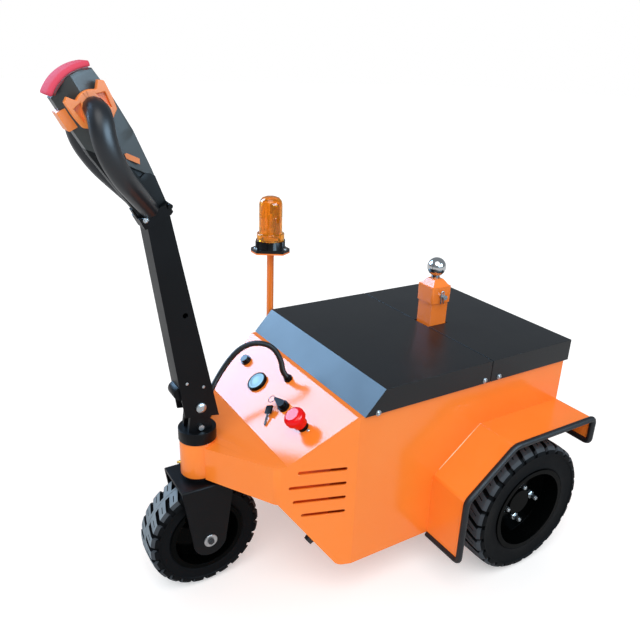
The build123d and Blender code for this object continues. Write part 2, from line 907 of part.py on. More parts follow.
# Wheels: solid tyres with blocks across the tread, on dished rims
# tyre: radius, width, bore radius, wheel centre x, y offset of the middle, blocks
front_rim_radius = 84
rear_rim_radius = 106
tread_depth = 9
shoulder = 10
wall_dish = 5
bead_height = 12
groove_width = 11
groove_share = 0.62
front_blocks = 24
rear_blocks = 26


def tyre_solid(radius, width, bore, blocks):
    """Tyre about the Y axis at the origin, with grooves between the blocks of both shoulders."""
    with BuildPart() as tyre:
        with BuildSketch(Plane.XY):
            with BuildLine():
                Polyline(
                    [
                        (bore, -width / 2 + wall_dish),
                        (bore + bead_height, -width / 2 + wall_dish),
                        (radius - tread_depth * 3, -width / 2 + wall_dish / 2),
                        (radius - shoulder, -width / 2),
                        (radius, -width / 2 + shoulder),
                        (radius, width / 2 - shoulder),
                        (radius - shoulder, width / 2),
                        (radius - tread_depth * 3, width / 2 - wall_dish / 2),
                        (bore + bead_height, width / 2 - wall_dish),
                        (bore, width / 2 - wall_dish),
                    ],
                    close=True,
                )
            make_face()
        revolve(axis=Axis.Y)
        step = 360 / blocks
        for side in (1, -1):
            with BuildSketch(Plane.YZ.offset(radius - tread_depth)):
                with Locations((side * (width / 2 - width * groove_share / 4), 0)):
                    Rectangle(width * groove_share / 2, groove_width)
            groove = extrude(amount=tread_depth * 2, mode=Mode.PRIVATE)
            turn = Rotation(0, step / 2 if side > 0 else 0, 0)
            for index in range(blocks):
                add(Rotation(0, step * index, 0) * turn * groove, mode=Mode.SUBTRACT)
    return tyre.part


front_wheel_place = Pos(steer_x, 0, front_radius)
rear_wheel_places = {"left": Pos(rear_axle_x, rear_track / 2, rear_radius),
                     "right": Pos(rear_axle_x, -rear_track / 2, rear_radius)}
front_tyre_blank = tyre_solid(front_radius, front_width, front_rim_radius, front_blocks)
rear_tyre_blank = tyre_solid(rear_radius, rear_width, rear_rim_radius, rear_blocks)

with BuildPart() as front_tyre:
    add(front_wheel_place * front_tyre_blank)
front_tyre.part.label = "front_tyre"
export_step(front_tyre.part, "parts/front_tyre.step")

rim_wall = 4
rim_lip = 8
front_hub_radius = 26
rear_hub_radius = 34
rear_disc_y = 4
rear_disc_thickness = 8
stud_circle = 50
stud_radius = 6
stud_length = 26
stud_nut_radius = 10
stud_nut_height = 9


def rim_solid(radius, width, hub_radius, bore, disc_y, disc_thickness, hub_low, hub_high):
    """Rim about the Y axis at the origin: barrel with lips, disc and hub in one turned form."""
    edge = width / 2 - wall_dish
    with BuildPart() as rim:
        with BuildSketch(Plane.XY):
            with BuildLine():
                Polyline(
                    [
                        (radius - rim_wall, -edge - rim_wall),
                        (radius + rim_lip, -edge - rim_wall),
                        (radius + rim_lip, -edge),
                        (radius, -edge),
                        (radius, edge),
                        (radius + rim_lip, edge),
                        (radius + rim_lip, edge + rim_wall),
                        (radius - rim_wall, edge + rim_wall),
                    ],
                    close=True,
                )
            make_face()
            with Locations(((bore + radius) / 2, disc_y)):
                Rectangle(radius - bore - rim_wall / 2, disc_thickness)
            with Locations(((bore + hub_radius) / 2, (hub_low + hub_high) / 2)):
                Rectangle(hub_radius - bore, hub_high - hub_low)
        revolve(axis=Axis.Y)
    return rim.part


front_rim_blank = rim_solid(
    front_rim_radius, front_width, front_hub_radius, axle_radius + running_gap, 0,
    rear_disc_thickness, -fork_half + fork_leg + thrust_gap, fork_half - fork_leg - thrust_gap,
)
rear_hub_low = hub_inner_y - rear_track / 2
rear_rim_blank = rim_solid(
    rear_rim_radius, rear_width, rear_hub_radius, stub_radius + running_gap, rear_disc_y,
    rear_disc_thickness, rear_hub_low, stub_end_y - rear_track / 2,
)

with BuildPart() as front_rim:
    add(front_wheel_place * front_rim_blank)
front_rim.part.label = "front_rim"
export_step(front_rim.part, "parts/front_rim.step")

with BuildPart() as hub_blank:
    with BuildSketch(Plane.XZ.offset(-(stub_end_y - rear_track / 2 + thrust_gap))):
        Circle(rear_hub_radius)
    extrude(amount=-rim_lip)
    with BuildSketch(Plane.XZ.offset(-(rear_disc_y + rear_disc_thickness / 2))):
        with PolarLocations(stud_circle, 4):
            RegularPolygon(stud_nut_radius, 6)
    extrude(amount=-stud_nut_height)
    with BuildSketch(Plane.XZ.offset(-(rear_disc_y + rear_disc_thickness / 2))):
        with PolarLocations(stud_circle, 4):
            Circle(stud_radius)
    extrude(amount=-stud_length)

for side, place in rear_wheel_places.items():
    turn = Rotation(0, 0, 0) if side == "left" else Rotation(0, 0, 180)
    with BuildPart() as rear_tyre:
        add(place * turn * rear_tyre_blank)
    rear_tyre.part.label = f"rear_tyre_{side}"
    export_step(rear_tyre.part, f"parts/rear_tyre_{side}.step")
    with BuildPart() as rear_rim:
        add(place * turn * rear_rim_blank)
    rear_rim.part.label = f"rear_rim_{side}"
    export_step(rear_rim.part, f"parts/rear_rim_{side}.step")
    with BuildPart() as rear_studs:
        add(place * turn * hub_blank.part)
    rear_studs.part.label = f"rear_studs_{side}"
    export_step(rear_studs.part, f"parts/rear_studs_{side}.step")

# Tiller arm: tapered box that straddles the lugs, with an open foot
arm_foot_rear = 43.5
arm_foot_front = 37
arm_rear_drop = 30.5
arm_front_drop = 18.5
arm_head_rear = 52.5
arm_head_front = 97
arm_rear_rise = 457
arm_front_rise = 430
arm_points = [
    (steer_x - arm_foot_rear, pivot_z - arm_rear_drop),
    (steer_x + arm_foot_front, pivot_z - arm_front_drop),
    (steer_x + arm_head_front, pivot_z + arm_front_rise),
    (steer_x + arm_head_rear, pivot_z + arm_rear_rise),
]
arm_foot_round = 48
arm_hole_radius = 6
arm_hole_reach = 27
arm_hole_rise = 226
bumper_radius = 17
bumper_half = 20
bumper_reach = 41
bumper_rise = 40

with BuildPart() as tiller_arm:
    with BuildSketch(Plane.XZ):
        with BuildLine():
            Polyline(arm_points, close=True)
        make_face()
    extrude(amount=arm_half, both=True)
    with BuildSketch(Plane.XZ):
        with Locations((steer_x + bumper_reach, pivot_z + bumper_rise)):
            Circle(bumper_radius)
    extrude(amount=bumper_half, both=True)
    with BuildSketch(Plane.XZ):
        with Locations((steer_x + arm_hole_reach, pivot_z + arm_hole_rise)):
            Circle(arm_hole_radius)
    extrude(amount=arm_half, both=True, mode=Mode.SUBTRACT)
    with BuildSketch(Plane.XZ):
        with BuildLine():
            Polyline(arm_points, close=True)
        make_face()
        offset(amount=-arm_wall)
    extrude(amount=arm_half - arm_wall, both=True, mode=Mode.SUBTRACT)
    with BuildSketch(Plane.XZ):
        with Locations((steer_x, pivot_z)):
            Circle(arm_foot_round)
    extrude(amount=arm_half - arm_wall, both=True, mode=Mode.SUBTRACT)
    with BuildSketch(Plane.XZ):
        with Locations((steer_x, pivot_z)):
            Circle(pivot_radius)
    extrude(amount=arm_half, both=True, mode=Mode.SUBTRACT)
tiller_arm.part.label = "tiller_arm"
export_step(tiller_arm.part, "parts/tiller_arm.step")

with BuildPart() as pivot_bolt:
    with BuildSketch(Plane.XZ):
        with Locations((steer_x, pivot_z)):
            Circle(pivot_radius)
    extrude(amount=arm_half, both=True)
    for side in (1, -1):
        with BuildSketch(Plane.XZ.offset(-side * arm_half)):
            with Locations((steer_x, pivot_z)):
                Circle(pivot_radius + sheet)
        extrude(amount=-side * sheet)
pivot_bolt.part.label = "pivot_bolt"
export_step(pivot_bolt.part, "parts/pivot_bolt.step")

# Tiller head: it leans further than the arm
head_reach = 77
head_rise = 447
head_base_x = steer_x + head_reach
head_base_z = pivot_z + head_rise
head_axis = Vector(sin(radians(head_lean)), 0, cos(radians(head_lean)))
head_front = Vector(cos(radians(head_lean)), 0, -sin(radians(head_lean)))
head_base = Vector(head_base_x, 0, head_base_z)
# local X along the head and Y to its front
head_side = Plane(origin=head_base, x_dir=head_axis, z_dir=(0, 1, 0))
# local X across the machine and Y along the head
head_face = Plane(origin=head_base, x_dir=(0, 1, 0), z_dir=head_front)
# local X to the head's front and Y across the machine
head_cross = Plane(origin=head_base, x_dir=head_front, z_dir=head_axis)

# Six-sided sections of the housing
# columns: along the head, half width at the ridge, rear reach, half width of the rear facet,
# front reach, half width of the front facet
housing_sections = [
    (8, 24, 31, 17, 28, 14),
    (76, 33, 39, 19, 37, 16),
    (154, 38, 45, 22, 46, 17),
    (230, 40, 42, 27, 49, 18),
    (290, 40, 34, 31, 50, 18),
]
housing_ridge = 5
end_along = 207
end_front = -3
end_radius = 79
housing_foot = housing_sections[0][0]
housing_wide = housing_sections[3][1]
pocket_depth = 10
pocket_floor = 20
# Corners of the three-cornered pocket in either flank: along the head, to its front
pocket_points = [(104, -3), (77, -23), (75, -9)]

with BuildPart() as head_housing:
    for along, ridge_half, rear, rear_half, front, front_half in housing_sections:
        with BuildSketch(head_cross.offset(along)):
            with BuildLine():
                Polyline(
                    [
                        (-rear, rear_half),
                        (housing_ridge, ridge_half),
                        (front, front_half),
                        (front, -front_half),
                        (housing_ridge, -ridge_half),
                        (-rear, -rear_half),
                    ],
                    close=True,
                )
            make_face()
    loft(ruled=True)
    with BuildSketch(head_side):
        with Locations((end_along, end_front)):
            Circle(end_radius)
        with Locations((end_along / 2, end_front)):
            Rectangle(end_along, end_radius * 2)
    extrude(amount=end_radius, both=True, mode=Mode.INTERSECT)
    for side in (1, -1):
        with BuildSketch(head_side.offset(side * pocket_floor)):
            with BuildLine():
                Polyline(pocket_points, close=True)
            make_face()
        extrude(amount=side * (pocket_floor + pocket_depth), mode=Mode.SUBTRACT)
head_housing.part.label = "head_housing"
export_step(head_housing.part, "parts/head_housing.step")

# Safety button round the end of the head: a soft cap on a narrower skirt
button_half = 38
button_lip = 5
button_skirt = 7
button_thickness = 7
button_skirt_inset = 4
button_round = 3
button_front = 56
button_rear = 38


def button_band(low, high, half):
    """Band round the head's end between two heights over the housing."""
    with BuildPart() as band:
        with BuildSketch(head_side):
            with Locations((end_along, end_front)):
                Circle(end_radius + high)
                Circle(end_radius + low, mode=Mode.SUBTRACT)
            with Locations((end_along, (button_front - button_rear) / 2)):
                Rectangle(
                    end_radius + high,
                    button_front + button_rear,
                    align=(Align.MIN, Align.CENTER),
                    mode=Mode.INTERSECT,
                )
        extrude(amount=half, both=True)
    return band.part


with BuildPart() as belly_button:
    add(button_band(button_lip, button_lip + button_thickness, button_half))
    fillet(belly_button.edges(), button_round)
    add(button_band(0, button_skirt, button_half - button_skirt_inset))
belly_button.part.label = "belly_button"
export_step(belly_button.part, "parts/belly_button.step")

# Thumb rockers beside the head: a drum with two wings, dished for the fingers
rocker_along = 225
rocker_front = 1
rocker_gap = 1.5
rocker_inner = housing_wide + rocker_gap
rocker_width = 14
rocker_radius = 31
rocker_shaft_radius = 8
rocker_dish = 7
# Outline of a wing from the drum's top to its foot, as shares of the drum's radius
wing_shares = [(0.81, 0.65), (1.19, 0.97), (1, 1.26), (0.03, 1.21), (-0.61, 1.1), (-1.06, 0.45), (-1, 0)]
dish_shares = [(0.48, 1.0), (0.6, 0.48), (-0.42, 0.87)]
wing_half = [(along * rocker_radius, front * rocker_radius) for along, front in wing_shares]
wing_points = wing_half + [(along, -front) for along, front in wing_half[-2::-1]]

with BuildPart() as thumb_rockers:
    for side in (1, -1):
        with BuildSketch(head_side.offset(side * rocker_inner)):
            with Locations((rocker_along, rocker_front)):
                Polygon(*wing_points, align=None)
                Circle(rocker_radius)
                Circle(rocker_shaft_radius + running_gap, mode=Mode.SUBTRACT)
        extrude(amount=side * rocker_width)
        dish_plane = head_side.offset(side * (rocker_inner + rocker_width - rocker_dish))
        for reach in (rocker_radius, -rocker_radius):
            with BuildSketch(dish_plane):
                with Locations((rocker_along, rocker_front)):
                    Polygon(
                        *[(along * rocker_radius, front * reach) for along, front in dish_shares],
                        align=None,
                    )
            extrude(amount=side * rocker_width, mode=Mode.SUBTRACT)
thumb_rockers.part.label = "thumb_rockers"
export_step(thumb_rockers.part, "parts/thumb_rockers.step")

# Handle loops either side of the head, from its foot round to the rockers' shafts
loop_radius = 18
loop_bends = [24, 66, 80]
loop_start_y = rocker_inner + rocker_width + thrust_gap
# Middle line of a loop below the rocker's shaft: along the head, to its front, off the middle
loop_points = [(172, 28, 106), (112, 28, 90), (14, 6, 26)]
loop_reach = 88

with BuildPart() as handle_loops:
    for side in (1, -1):
        start = head_side.from_local_coords((rocker_along, rocker_front, side * loop_start_y))
        corner = head_side.from_local_coords((rocker_along, rocker_front, side * loop_reach))
        rest = [head_side.from_local_coords((along, front, side * y)) for along, front, y in loop_points]
        with BuildLine() as loop_line:
            FilletPolyline(start, corner, *rest, radius=loop_bends)
        with BuildSketch(head_side.offset(side * loop_start_y)):
            with Locations((rocker_along, rocker_front)):
                Circle(loop_radius)
        sweep(path=loop_line.wire())
    split(bisect_by=head_cross.offset(housing_foot), keep=Keep.TOP)
    with BuildSketch(head_side):
        with Locations((rocker_along, rocker_front)):
            Circle(rocker_shaft_radius)
    extrude(amount=loop_start_y, both=True)
    add(head_housing.part, mode=Mode.SUBTRACT)
handle_loops.part.label = "handle_loops"
export_step(handle_loops.part, "parts/handle_loops.step")

# Bracket that clamps the head to the arm's top, with a cross rod at its rear
bracket_low = -16
bracket_half = 32
bracket_rear = 32
bracket_front = 34
bracket_bevel = 8
rod_radius = 5
rod_half = 36
rod_rear = 30
tab_half = 9
tab_thickness = 4
tab_length = 18

with BuildPart() as head_bracket:
    with BuildSketch(head_cross.offset(bracket_low)):
        with Locations(((bracket_front - bracket_rear) / 2, 0)):
            Rectangle(bracket_front + bracket_rear, bracket_half * 2)
    extrude(amount=housing_foot - bracket_low)
    chamfer(head_bracket.edges().filter_by(Axis(head_base, head_axis)), bracket_bevel)
    with BuildSketch(head_side):
        with Locations((0, -rod_rear)):
            Circle(rod_radius)
    extrude(amount=rod_half, both=True)
    with BuildSketch(head_cross.offset(bracket_low)):
        with Locations((bracket_front - tab_thickness / 2, 0)):
            Rectangle(tab_thickness, tab_half * 2)
    extrude(amount=housing_foot - bracket_low + tab_length)
    with BuildSketch(Plane.XZ):
        with BuildLine():
            Polyline(arm_points, close=True)
        make_face()
    extrude(amount=arm_half, both=True, mode=Mode.SUBTRACT)
    add(head_housing.part, mode=Mode.SUBTRACT)
head_bracket.part.label = "head_bracket"
export_step(head_bracket.part, "parts/head_bracket.step")

# Switch block on the head's front, and a slanted switch on either flank
switch_low = 206
switch_high = 243
switch_half = 23
switch_rear = 38
switch_front = 56
switch_round = 3
flank_switch_inner = 20
flank_switch_outer = 35
flank_switch_points = [(129, -6), (128, -11), (108, -26), (99, -21), (120, -5)]

with BuildPart() as head_switches:
    with BuildSketch(head_face.offset(switch_rear)):
        with Locations((0, (switch_low + switch_high) / 2)):
            Rectangle(switch_half * 2, switch_high - switch_low)
    extrude(amount=switch_front - switch_rear)
    fillet(head_switches.faces().sort_by(Axis(head_base, head_front))[-1].edges(), switch_round)
    for side in (1, -1):
        with BuildSketch(head_side.offset(side * flank_switch_inner)):
            with BuildLine():
                Polyline(flank_switch_points, close=True)
            make_face()
        extrude(amount=side * (flank_switch_outer - flank_switch_inner))
    add(head_housing.part, mode=Mode.SUBTRACT)
head_switches.part.label = "head_switches"
export_step(head_switches.part, "parts/head_switches.step")
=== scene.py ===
"""Looks of a pedestrian-controlled electric tow tractor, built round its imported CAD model.

The model's own frame has +X at the tiller end, +Y on the left side and Z up. Lengths are metres.
Turned outlines, spots and what a class's own words name are listed in millimetres.
"""
import logging
import math
from dataclasses import dataclass, field
from enum import Enum
from typing import Callable, Iterable, Sequence

import bmesh
import bpy
from mathutils import Matrix, Quaternion, Vector


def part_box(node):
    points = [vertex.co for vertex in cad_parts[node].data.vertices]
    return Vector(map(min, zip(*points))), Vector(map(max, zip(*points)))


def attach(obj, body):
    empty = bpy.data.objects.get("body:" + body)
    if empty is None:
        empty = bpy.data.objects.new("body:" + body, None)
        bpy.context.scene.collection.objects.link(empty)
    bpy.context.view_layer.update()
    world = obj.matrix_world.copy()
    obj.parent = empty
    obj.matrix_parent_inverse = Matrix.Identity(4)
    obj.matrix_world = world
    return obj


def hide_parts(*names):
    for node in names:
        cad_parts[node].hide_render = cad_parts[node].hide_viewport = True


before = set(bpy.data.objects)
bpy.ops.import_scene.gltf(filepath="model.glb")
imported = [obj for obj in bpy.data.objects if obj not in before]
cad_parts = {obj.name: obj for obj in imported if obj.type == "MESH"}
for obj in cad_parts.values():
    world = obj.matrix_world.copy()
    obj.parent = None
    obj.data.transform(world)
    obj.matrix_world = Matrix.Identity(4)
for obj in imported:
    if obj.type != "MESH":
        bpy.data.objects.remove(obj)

log = logging.getLogger("tow_tractor")
MM = 0.001
SENSOR_WIDTH = 36.0
WELD_GAP = 0.01 * MM
SIDES = ((1, "left"), (-1, "right"))

Outline = Sequence[tuple[float, float]]
Test = Callable[[Vector, Vector], bool]


class Relief(Enum):
    """Kinds of fine relief that a surface's making leaves on it."""

    PEEL = "the long soft waves of a baked powder coat"
    MOULDED = "the fine pebble of a spark-eroded mould"
    RUBBER = "the dull pores of cured rubber"
    PLATED = "the faint ripple of a plated turned face"
    SMOOTH = "a polished or glossy moulded face"


def spot(x: float, y: float, z: float) -> Vector:
    """Return a dataclass field that holds a point given in millimetres."""
    return field(default_factory=lambda: Vector((x, y, z)) * MM)


def linear(hex_colour: str) -> tuple[float, float, float, float]:
    """Turn an sRGB hex colour to linear RGBA.

    Args:
        hex_colour: Six hex digits with a hash in front.

    Returns:
        Linear red, green, blue and an alpha of 1.
    """
    parts = [int(hex_colour[i:i + 2], 16) / 255 for i in (1, 3, 5)]
    lit = [p / 12.92 if p <= 0.04045 else ((p + 0.055) / 1.055) ** 2.4 for p in parts]
    return (lit[0], lit[1], lit[2], 1.0)


def add_node(tree: bpy.types.NodeTree, kind: str, settings: dict | None = None,
             links: dict | None = None) -> bpy.types.Node:
    """Add a shader node with its settings and links.

    Args:
        tree: Node tree of the material or world.
        kind: Node type without its "ShaderNode" start.
        settings: Values by the name of an attribute, or by the name or number of an input.
        links: Output sockets by the name or number of the input that each feeds.

    Returns:
        The new node.
    """
    node = tree.nodes.new("ShaderNode" + kind)
    for key, value in (settings or {}).items():
        if isinstance(key, str) and hasattr(node, key):
            setattr(node, key, value)
        else:
            node.inputs[key].default_value = value
    for key, socket in (links or {}).items():
        tree.links.new(socket, node.inputs[key])
    return node


@dataclass(frozen=True)
class Finish:
    """One surface: its colour, how it reflects light and the relief that its making leaves.

    Attributes:
        name: Plain name of the material.
        slot: Material slot of the record that the finish belongs to. It is not used.
        colour: Main colour as sRGB hex.
        shade: Colour that the surface drifts to in large soft patches.
        roughness: Roughness of the cleanest patches.
        dulled: Roughness of the dullest patches.
        metallic: 1 for bare metal and 0 for all else.
        ior: Index of refraction.
        mirror: Strength of the plain reflection, where 0.5 is a bare dielectric.
        clear: Share of the light that goes through.
        patch: Size of the patches of colour and gloss.
        relief: Kind of fine relief.
        grain: Spacing of the relief. The pebble of moulds and the pores of rubber, 0.1 to 0.5 mm
            in truth, are drawn as coarse as they need to show.
        depth: Height of the relief.
    """

    name: str
    slot: str
    colour: str
    shade: str
    roughness: float
    dulled: float
    metallic: float = 0.0
    ior: float = 1.5
    mirror: float = 0.5
    clear: float = 0.0
    patch: float = 120 * MM
    relief: Relief = Relief.SMOOTH
    grain: float = 4 * MM
    depth: float = 0.02 * MM

    def material(self) -> bpy.types.Material:
        """Return the finish's material, made at its first use."""
        known = bpy.data.materials.get(self.name)
        return known if known else self.make()

    def make(self) -> bpy.types.Material:
        """Build the material's nodes.

        Returns:
            The new material.
        """
        made = bpy.data.materials.new(self.name)
        made.use_nodes = True
        tree = made.node_tree
        shader = tree.nodes["Principled BSDF"]
        place = add_node(tree, "TexCoord").outputs["Object"]
        drift = add_node(tree, "TexNoise", {"Scale": 1 / self.patch, "Detail": 3.0}, {"Vector": place})
        spread = add_node(tree, "MapRange", {"From Min": 0.3, "From Max": 0.7},
                          {"Value": drift.outputs["Fac"]})
        tint = add_node(tree, "Mix", {"data_type": "RGBA", 6: linear(self.colour), 7: linear(self.shade)},
                        {0: spread.outputs["Result"]})
        gloss = add_node(tree, "MapRange", {"To Min": self.roughness, "To Max": self.dulled},
                         {"Value": spread.outputs["Result"]})
        tree.links.new(tint.outputs[2], shader.inputs["Base Color"])
        tree.links.new(gloss.outputs["Result"], shader.inputs["Roughness"])
        shader.inputs["Metallic"].default_value = self.metallic
        shader.inputs["Specular IOR Level"].default_value = self.mirror
        shader.inputs["Transmission Weight"].default_value = self.clear
        if self.metallic < 1:
            shader.inputs["IOR"].default_value = self.ior
        height = self.relief_height(tree, place)
        bump = add_node(tree, "Bump", {"Distance": self.depth}, {"Height": height})
        tree.links.new(bump.outputs["Normal"], shader.inputs["Normal"])
        return made

    def relief_height(self, tree: bpy.types.NodeTree, place: bpy.types.NodeSocket) -> bpy.types.NodeSocket:
        """Add the pattern of the fine relief.

        Args:
            tree: The material's node tree.
            place: Object coordinates.

        Returns:
            The height socket, from 0 to 1.
        """
        scale = 1 / self.grain
        if self.relief is Relief.MOULDED:
            cells = add_node(tree, "TexVoronoi", {"feature": "SMOOTH_F1", "Scale": scale}, {"Vector": place})
            return cells.outputs["Distance"]
        detail = {Relief.PEEL: 1.0, Relief.RUBBER: 6.0, Relief.PLATED: 4.0, Relief.SMOOTH: 0.0}[self.relief]
        waves = add_node(tree, "TexNoise", {"Scale": scale, "Detail": detail}, {"Vector": place})
        return waves.outputs["Fac"]


# Polyester powder coat, baked on steel: an even gloss colour that mirrors its neighbours softly
ORANGE = Finish("orange_powder_coat", "orange_paint", "#FF8A34", "#FF862E", 0.16, 0.2, mirror=0.45,
                relief=Relief.PEEL, grain=7 * MM, depth=0.03 * MM)
# Black powder coat of the cover: semi-gloss, so the slope mirrors the sky
COVER_BLACK = Finish("black_cover_powder_coat", "cover_paint", "#0A0D11", "#0E1116", 0.3, 0.36, mirror=0.34,
                     relief=Relief.PEEL, grain=7 * MM, depth=0.04 * MM)
# The same coat on fork and arm, thinner and duller, so that they read as matt black
ARM_BLACK = Finish("black_powder_coat", "black_paint", "#08090C", "#0B0C0F", 0.36, 0.42, mirror=0.13,
                   relief=Relief.PEEL, grain=4 * MM, depth=0.04 * MM)
# Gloss enamel on pressed wheel discs: deep black with sharp highlights
RIM_BLACK = Finish("black_gloss_enamel", "rim_paint", "#020303", "#040505", 0.08, 0.14, mirror=0.03,
                   relief=Relief.PEEL, grain=9 * MM, depth=0.04 * MM)
# Moulded polypropylene: dull and pebbled, orange where the slots let the eye in
BATTERY_CASE = Finish("moulded_battery_case", "battery_case", "#F0702A", "#E66824", 0.5, 0.6, mirror=0.3,
                      relief=Relief.MOULDED, grain=2 * MM, depth=0.1 * MM)
# Cast iron under thin dark paint: rough and uneven, hardly glossy
AXLE_IRON = Finish("painted_axle_casting", "axle_iron", "#1D1E20", "#27282A", 0.55, 0.7,
                   relief=Relief.RUBBER, grain=5 * MM, depth=0.3 * MM)
# Extruded rubber section: bluish black, with a soft long highlight
EDGE_RUBBER = Finish("extruded_edge_rubber", "edge_rubber", "#14161B", "#1A1D22", 0.42, 0.52, mirror=0.35,
                     relief=Relief.RUBBER, grain=2 * MM, depth=0.05 * MM)
# Solid tyre rubber: matte, a little grey where it has bloomed
TYRE_RUBBER = Finish("solid_tyre_rubber", "tyre_rubber", "#07090B", "#0B0D10", 0.5, 0.7, mirror=0.07,
                     relief=Relief.RUBBER, grain=2.5 * MM, depth=0.12 * MM)
# Tops of the tread blocks, greyed a little by the mould's release agent and by dust, and much lighter with a
# painted reflection of the sky
DUST_AND_SHEEN_TREAD = Finish("dusty_tread_rubber_painted_sheen", "tyre_rubber", "#737F89", "#838F98", 0.6, 0.75, mirror=0.3,
                      patch=40 * MM, relief=Relief.RUBBER, grain=2 * MM, depth=0.12 * MM)
# The same rubber, greyed less: on the rear wheels the tread tops' painted reflection dimmed by the fenders'
# painted shade, and on the shoulders of all the blocks a fainter painted reflection
DIM_SHEEN_TREAD = Finish("tread_rubber_painted_shade_and_sheen", "tyre_rubber", "#3A3F44", "#43484E", 0.6, 0.75, mirror=0.15,
                      patch=40 * MM, relief=Relief.RUBBER, grain=2 * MM, depth=0.12 * MM)
# Extruded nylon tube: black, with a bright line along each rib
HOSE_RUBBER = Finish("corrugated_hose_nylon", "hose_rubber", "#0C0D0F", "#111214", 0.32, 0.4, mirror=0.35)
# Chrome over turned steel: a mirror with a trace of the turning
BALL_CHROME = Finish("polished_chrome_plate", "ball_chrome", "#C9CBCC", "#BDBFC0", 0.09, 0.16, metallic=1.0,
                     relief=Relief.PLATED, grain=3 * MM, depth=0.01 * MM)
# Zinc plate on bolts: bright, cool and cloudy from patch to patch
ZINC = Finish("bright_zinc_plate", "zinc_plate", "#B9BDBF", "#A3A8AB", 0.28, 0.42, metallic=1.0,
              patch=12 * MM, relief=Relief.PLATED, grain=1.5 * MM, depth=0.03 * MM)
# Moulded ABS, nearly glossy: black with small sharp highlights
BLACK_PLASTIC = Finish("black_moulded_plastic", "black_plastic", "#0A0B0D", "#0F1012", 0.2, 0.28, mirror=0.24,
                       relief=Relief.MOULDED, grain=1.5 * MM, depth=0.02 * MM)
# The same black plastic worn dull by hands, on the console's fittings
DULL_PLASTIC = Finish("dull_black_plastic", "black_plastic", "#08090A", "#0D0E10", 0.34, 0.42, mirror=0.07,
                      relief=Relief.MOULDED, grain=1.5 * MM, depth=0.02 * MM)
# Soft-touch grip: satin with a bluish sheen where it turns to the light
GRIP = Finish("moulded_grip", "grip_plastic", "#10141A", "#141920", 0.36, 0.42,
              relief=Relief.MOULDED, grain=1.5 * MM, depth=0.02 * MM)
# Moulded glass-filled nylon of the head: slate grey with a fine pebble
HEAD_GREY = Finish("moulded_head_shell", "grey_plastic", "#373D3E", "#3D4344", 0.38, 0.46, mirror=0.4,
                   relief=Relief.MOULDED, grain=1.2 * MM, depth=0.04 * MM)
# Lower half of the head's shell, coloured nearly as dark as the arm: painted shade where the shell turns down
# and away from the light
SHELL_PAINTED_SHADE = Finish("lower_shell_painted_shade", "grey_plastic", "#14181A", "#181C1F", 0.42, 0.5, mirror=0.15,
                    relief=Relief.MOULDED, grain=1.2 * MM, depth=0.04 * MM)
# Polished moulding of the stop button: a full red with a clear highlight
RED_PLASTIC = Finish("glossy_red_plastic", "red_plastic", "#EC0A14", "#E20810", 0.14, 0.2, mirror=0.3)
# Softer red of the safety button, paled by the light on it
BUTTON_RED = Finish("soft_red_plastic", "red_plastic", "#E0566C", "#DA4E64", 0.7, 0.76, mirror=0.02,
                    relief=Relief.MOULDED, grain=1.2 * MM, depth=0.02 * MM)
# Deeper red of the skirt that the safety button slides on
SKIRT_RED = Finish("dark_red_plastic", "red_plastic", "#7A0C14", "#6E0A12", 0.3, 0.36)
# Moulded in the body's orange for the switches, paler and duller than the paint
ORANGE_PLASTIC = Finish("moulded_orange_plastic", "orange_plastic", "#FF9548", "#FA8E42", 0.34, 0.42,
                        relief=Relief.MOULDED, grain=1.5 * MM, depth=0.03 * MM)
# Clear cover over the gauge's pale blue dial, glossy all over
GAUGE_GLASS = Finish("gauge_window", "gauge_glass", "#9CD2F0", "#92CAEA", 0.12, 0.18, mirror=0.2)
# Clear tinted polycarbonate: light goes through and comes out deep yellow
AMBER = Finish("amber_polycarbonate", "amber_lens", "#FFB210", "#FAAA0C", 0.05, 0.08, ior=1.45, clear=0.8)
# Nickelled steel of the spare key, dull and brownish beside the bright panel
KEY_STEEL = Finish("worn_nickel_plate", "zinc_plate", "#57504A", "#4C4640", 0.45, 0.55, metallic=1.0,
                   patch=8 * MM, relief=Relief.PLATED, grain=1.5 * MM, depth=0.03 * MM)
# Pale bead between fender and body: a painted highlight where the joint's edge catches the light
SEAM_HIGHLIGHT = Finish("painted_seam_highlight", "orange_paint", "#FFDDBB", "#FFD2A6", 0.3, 0.4)
# Turned brass of the grease nipple: warm and bright beside the zinc
BRASS = Finish("bright_brass", "zinc_plate", "#D9B96A", "#C9A556", 0.25, 0.35, metallic=1.0, patch=12 * MM)
# Cream lamp holder in the beacon, which lights the lens from inside
REFLECTOR = Finish("beacon_reflector", "amber_lens", "#F6E2C0", "#F0D8B0", 0.2, 0.3)
# Back of the beacon's turning shield, dark: painted shade that deepens the lens in front of it
SHIELD_PAINTED_SHADE = Finish("beacon_shield_painted_shade", "amber_lens", "#9A3004", "#8A2802", 0.3, 0.4, mirror=0.2)


def facing(origin: Vector, axis: Vector, across: Vector | None = None) -> Matrix:
    """Work out the place of a piece that was made along Z.

    Args:
        origin: Where the piece's foot goes.
        axis: Where its Z axis points.
        across: Roughly where its X axis points.

    Returns:
        The matrix that takes the piece there.
    """
    up = axis.normalized()
    side = across if across is not None else Vector((1, 0, 0)) if abs(up.x) < 0.9 else Vector((0, 1, 0))
    side = (side - up * side.dot(up)).normalized()
    turn = Matrix((side, up.cross(side), up)).transposed().to_4x4()
    return Matrix.Translation(origin) @ turn


def both_sides(spots: Iterable[Sequence[float]]) -> list[Matrix]:
    """Work out the places of what stands on the left side and again, mirrored, on the right one.

    Args:
        spots: X, Y and Z of each place on the left side, in millimetres.

    Returns:
        The places, those of the left side first, with the Z axis pointing outwards.
    """
    return [facing(Vector((x, side * y, z)) * MM, Vector((0, side, 0)))
            for side, _ in SIDES for x, y, z in spots]


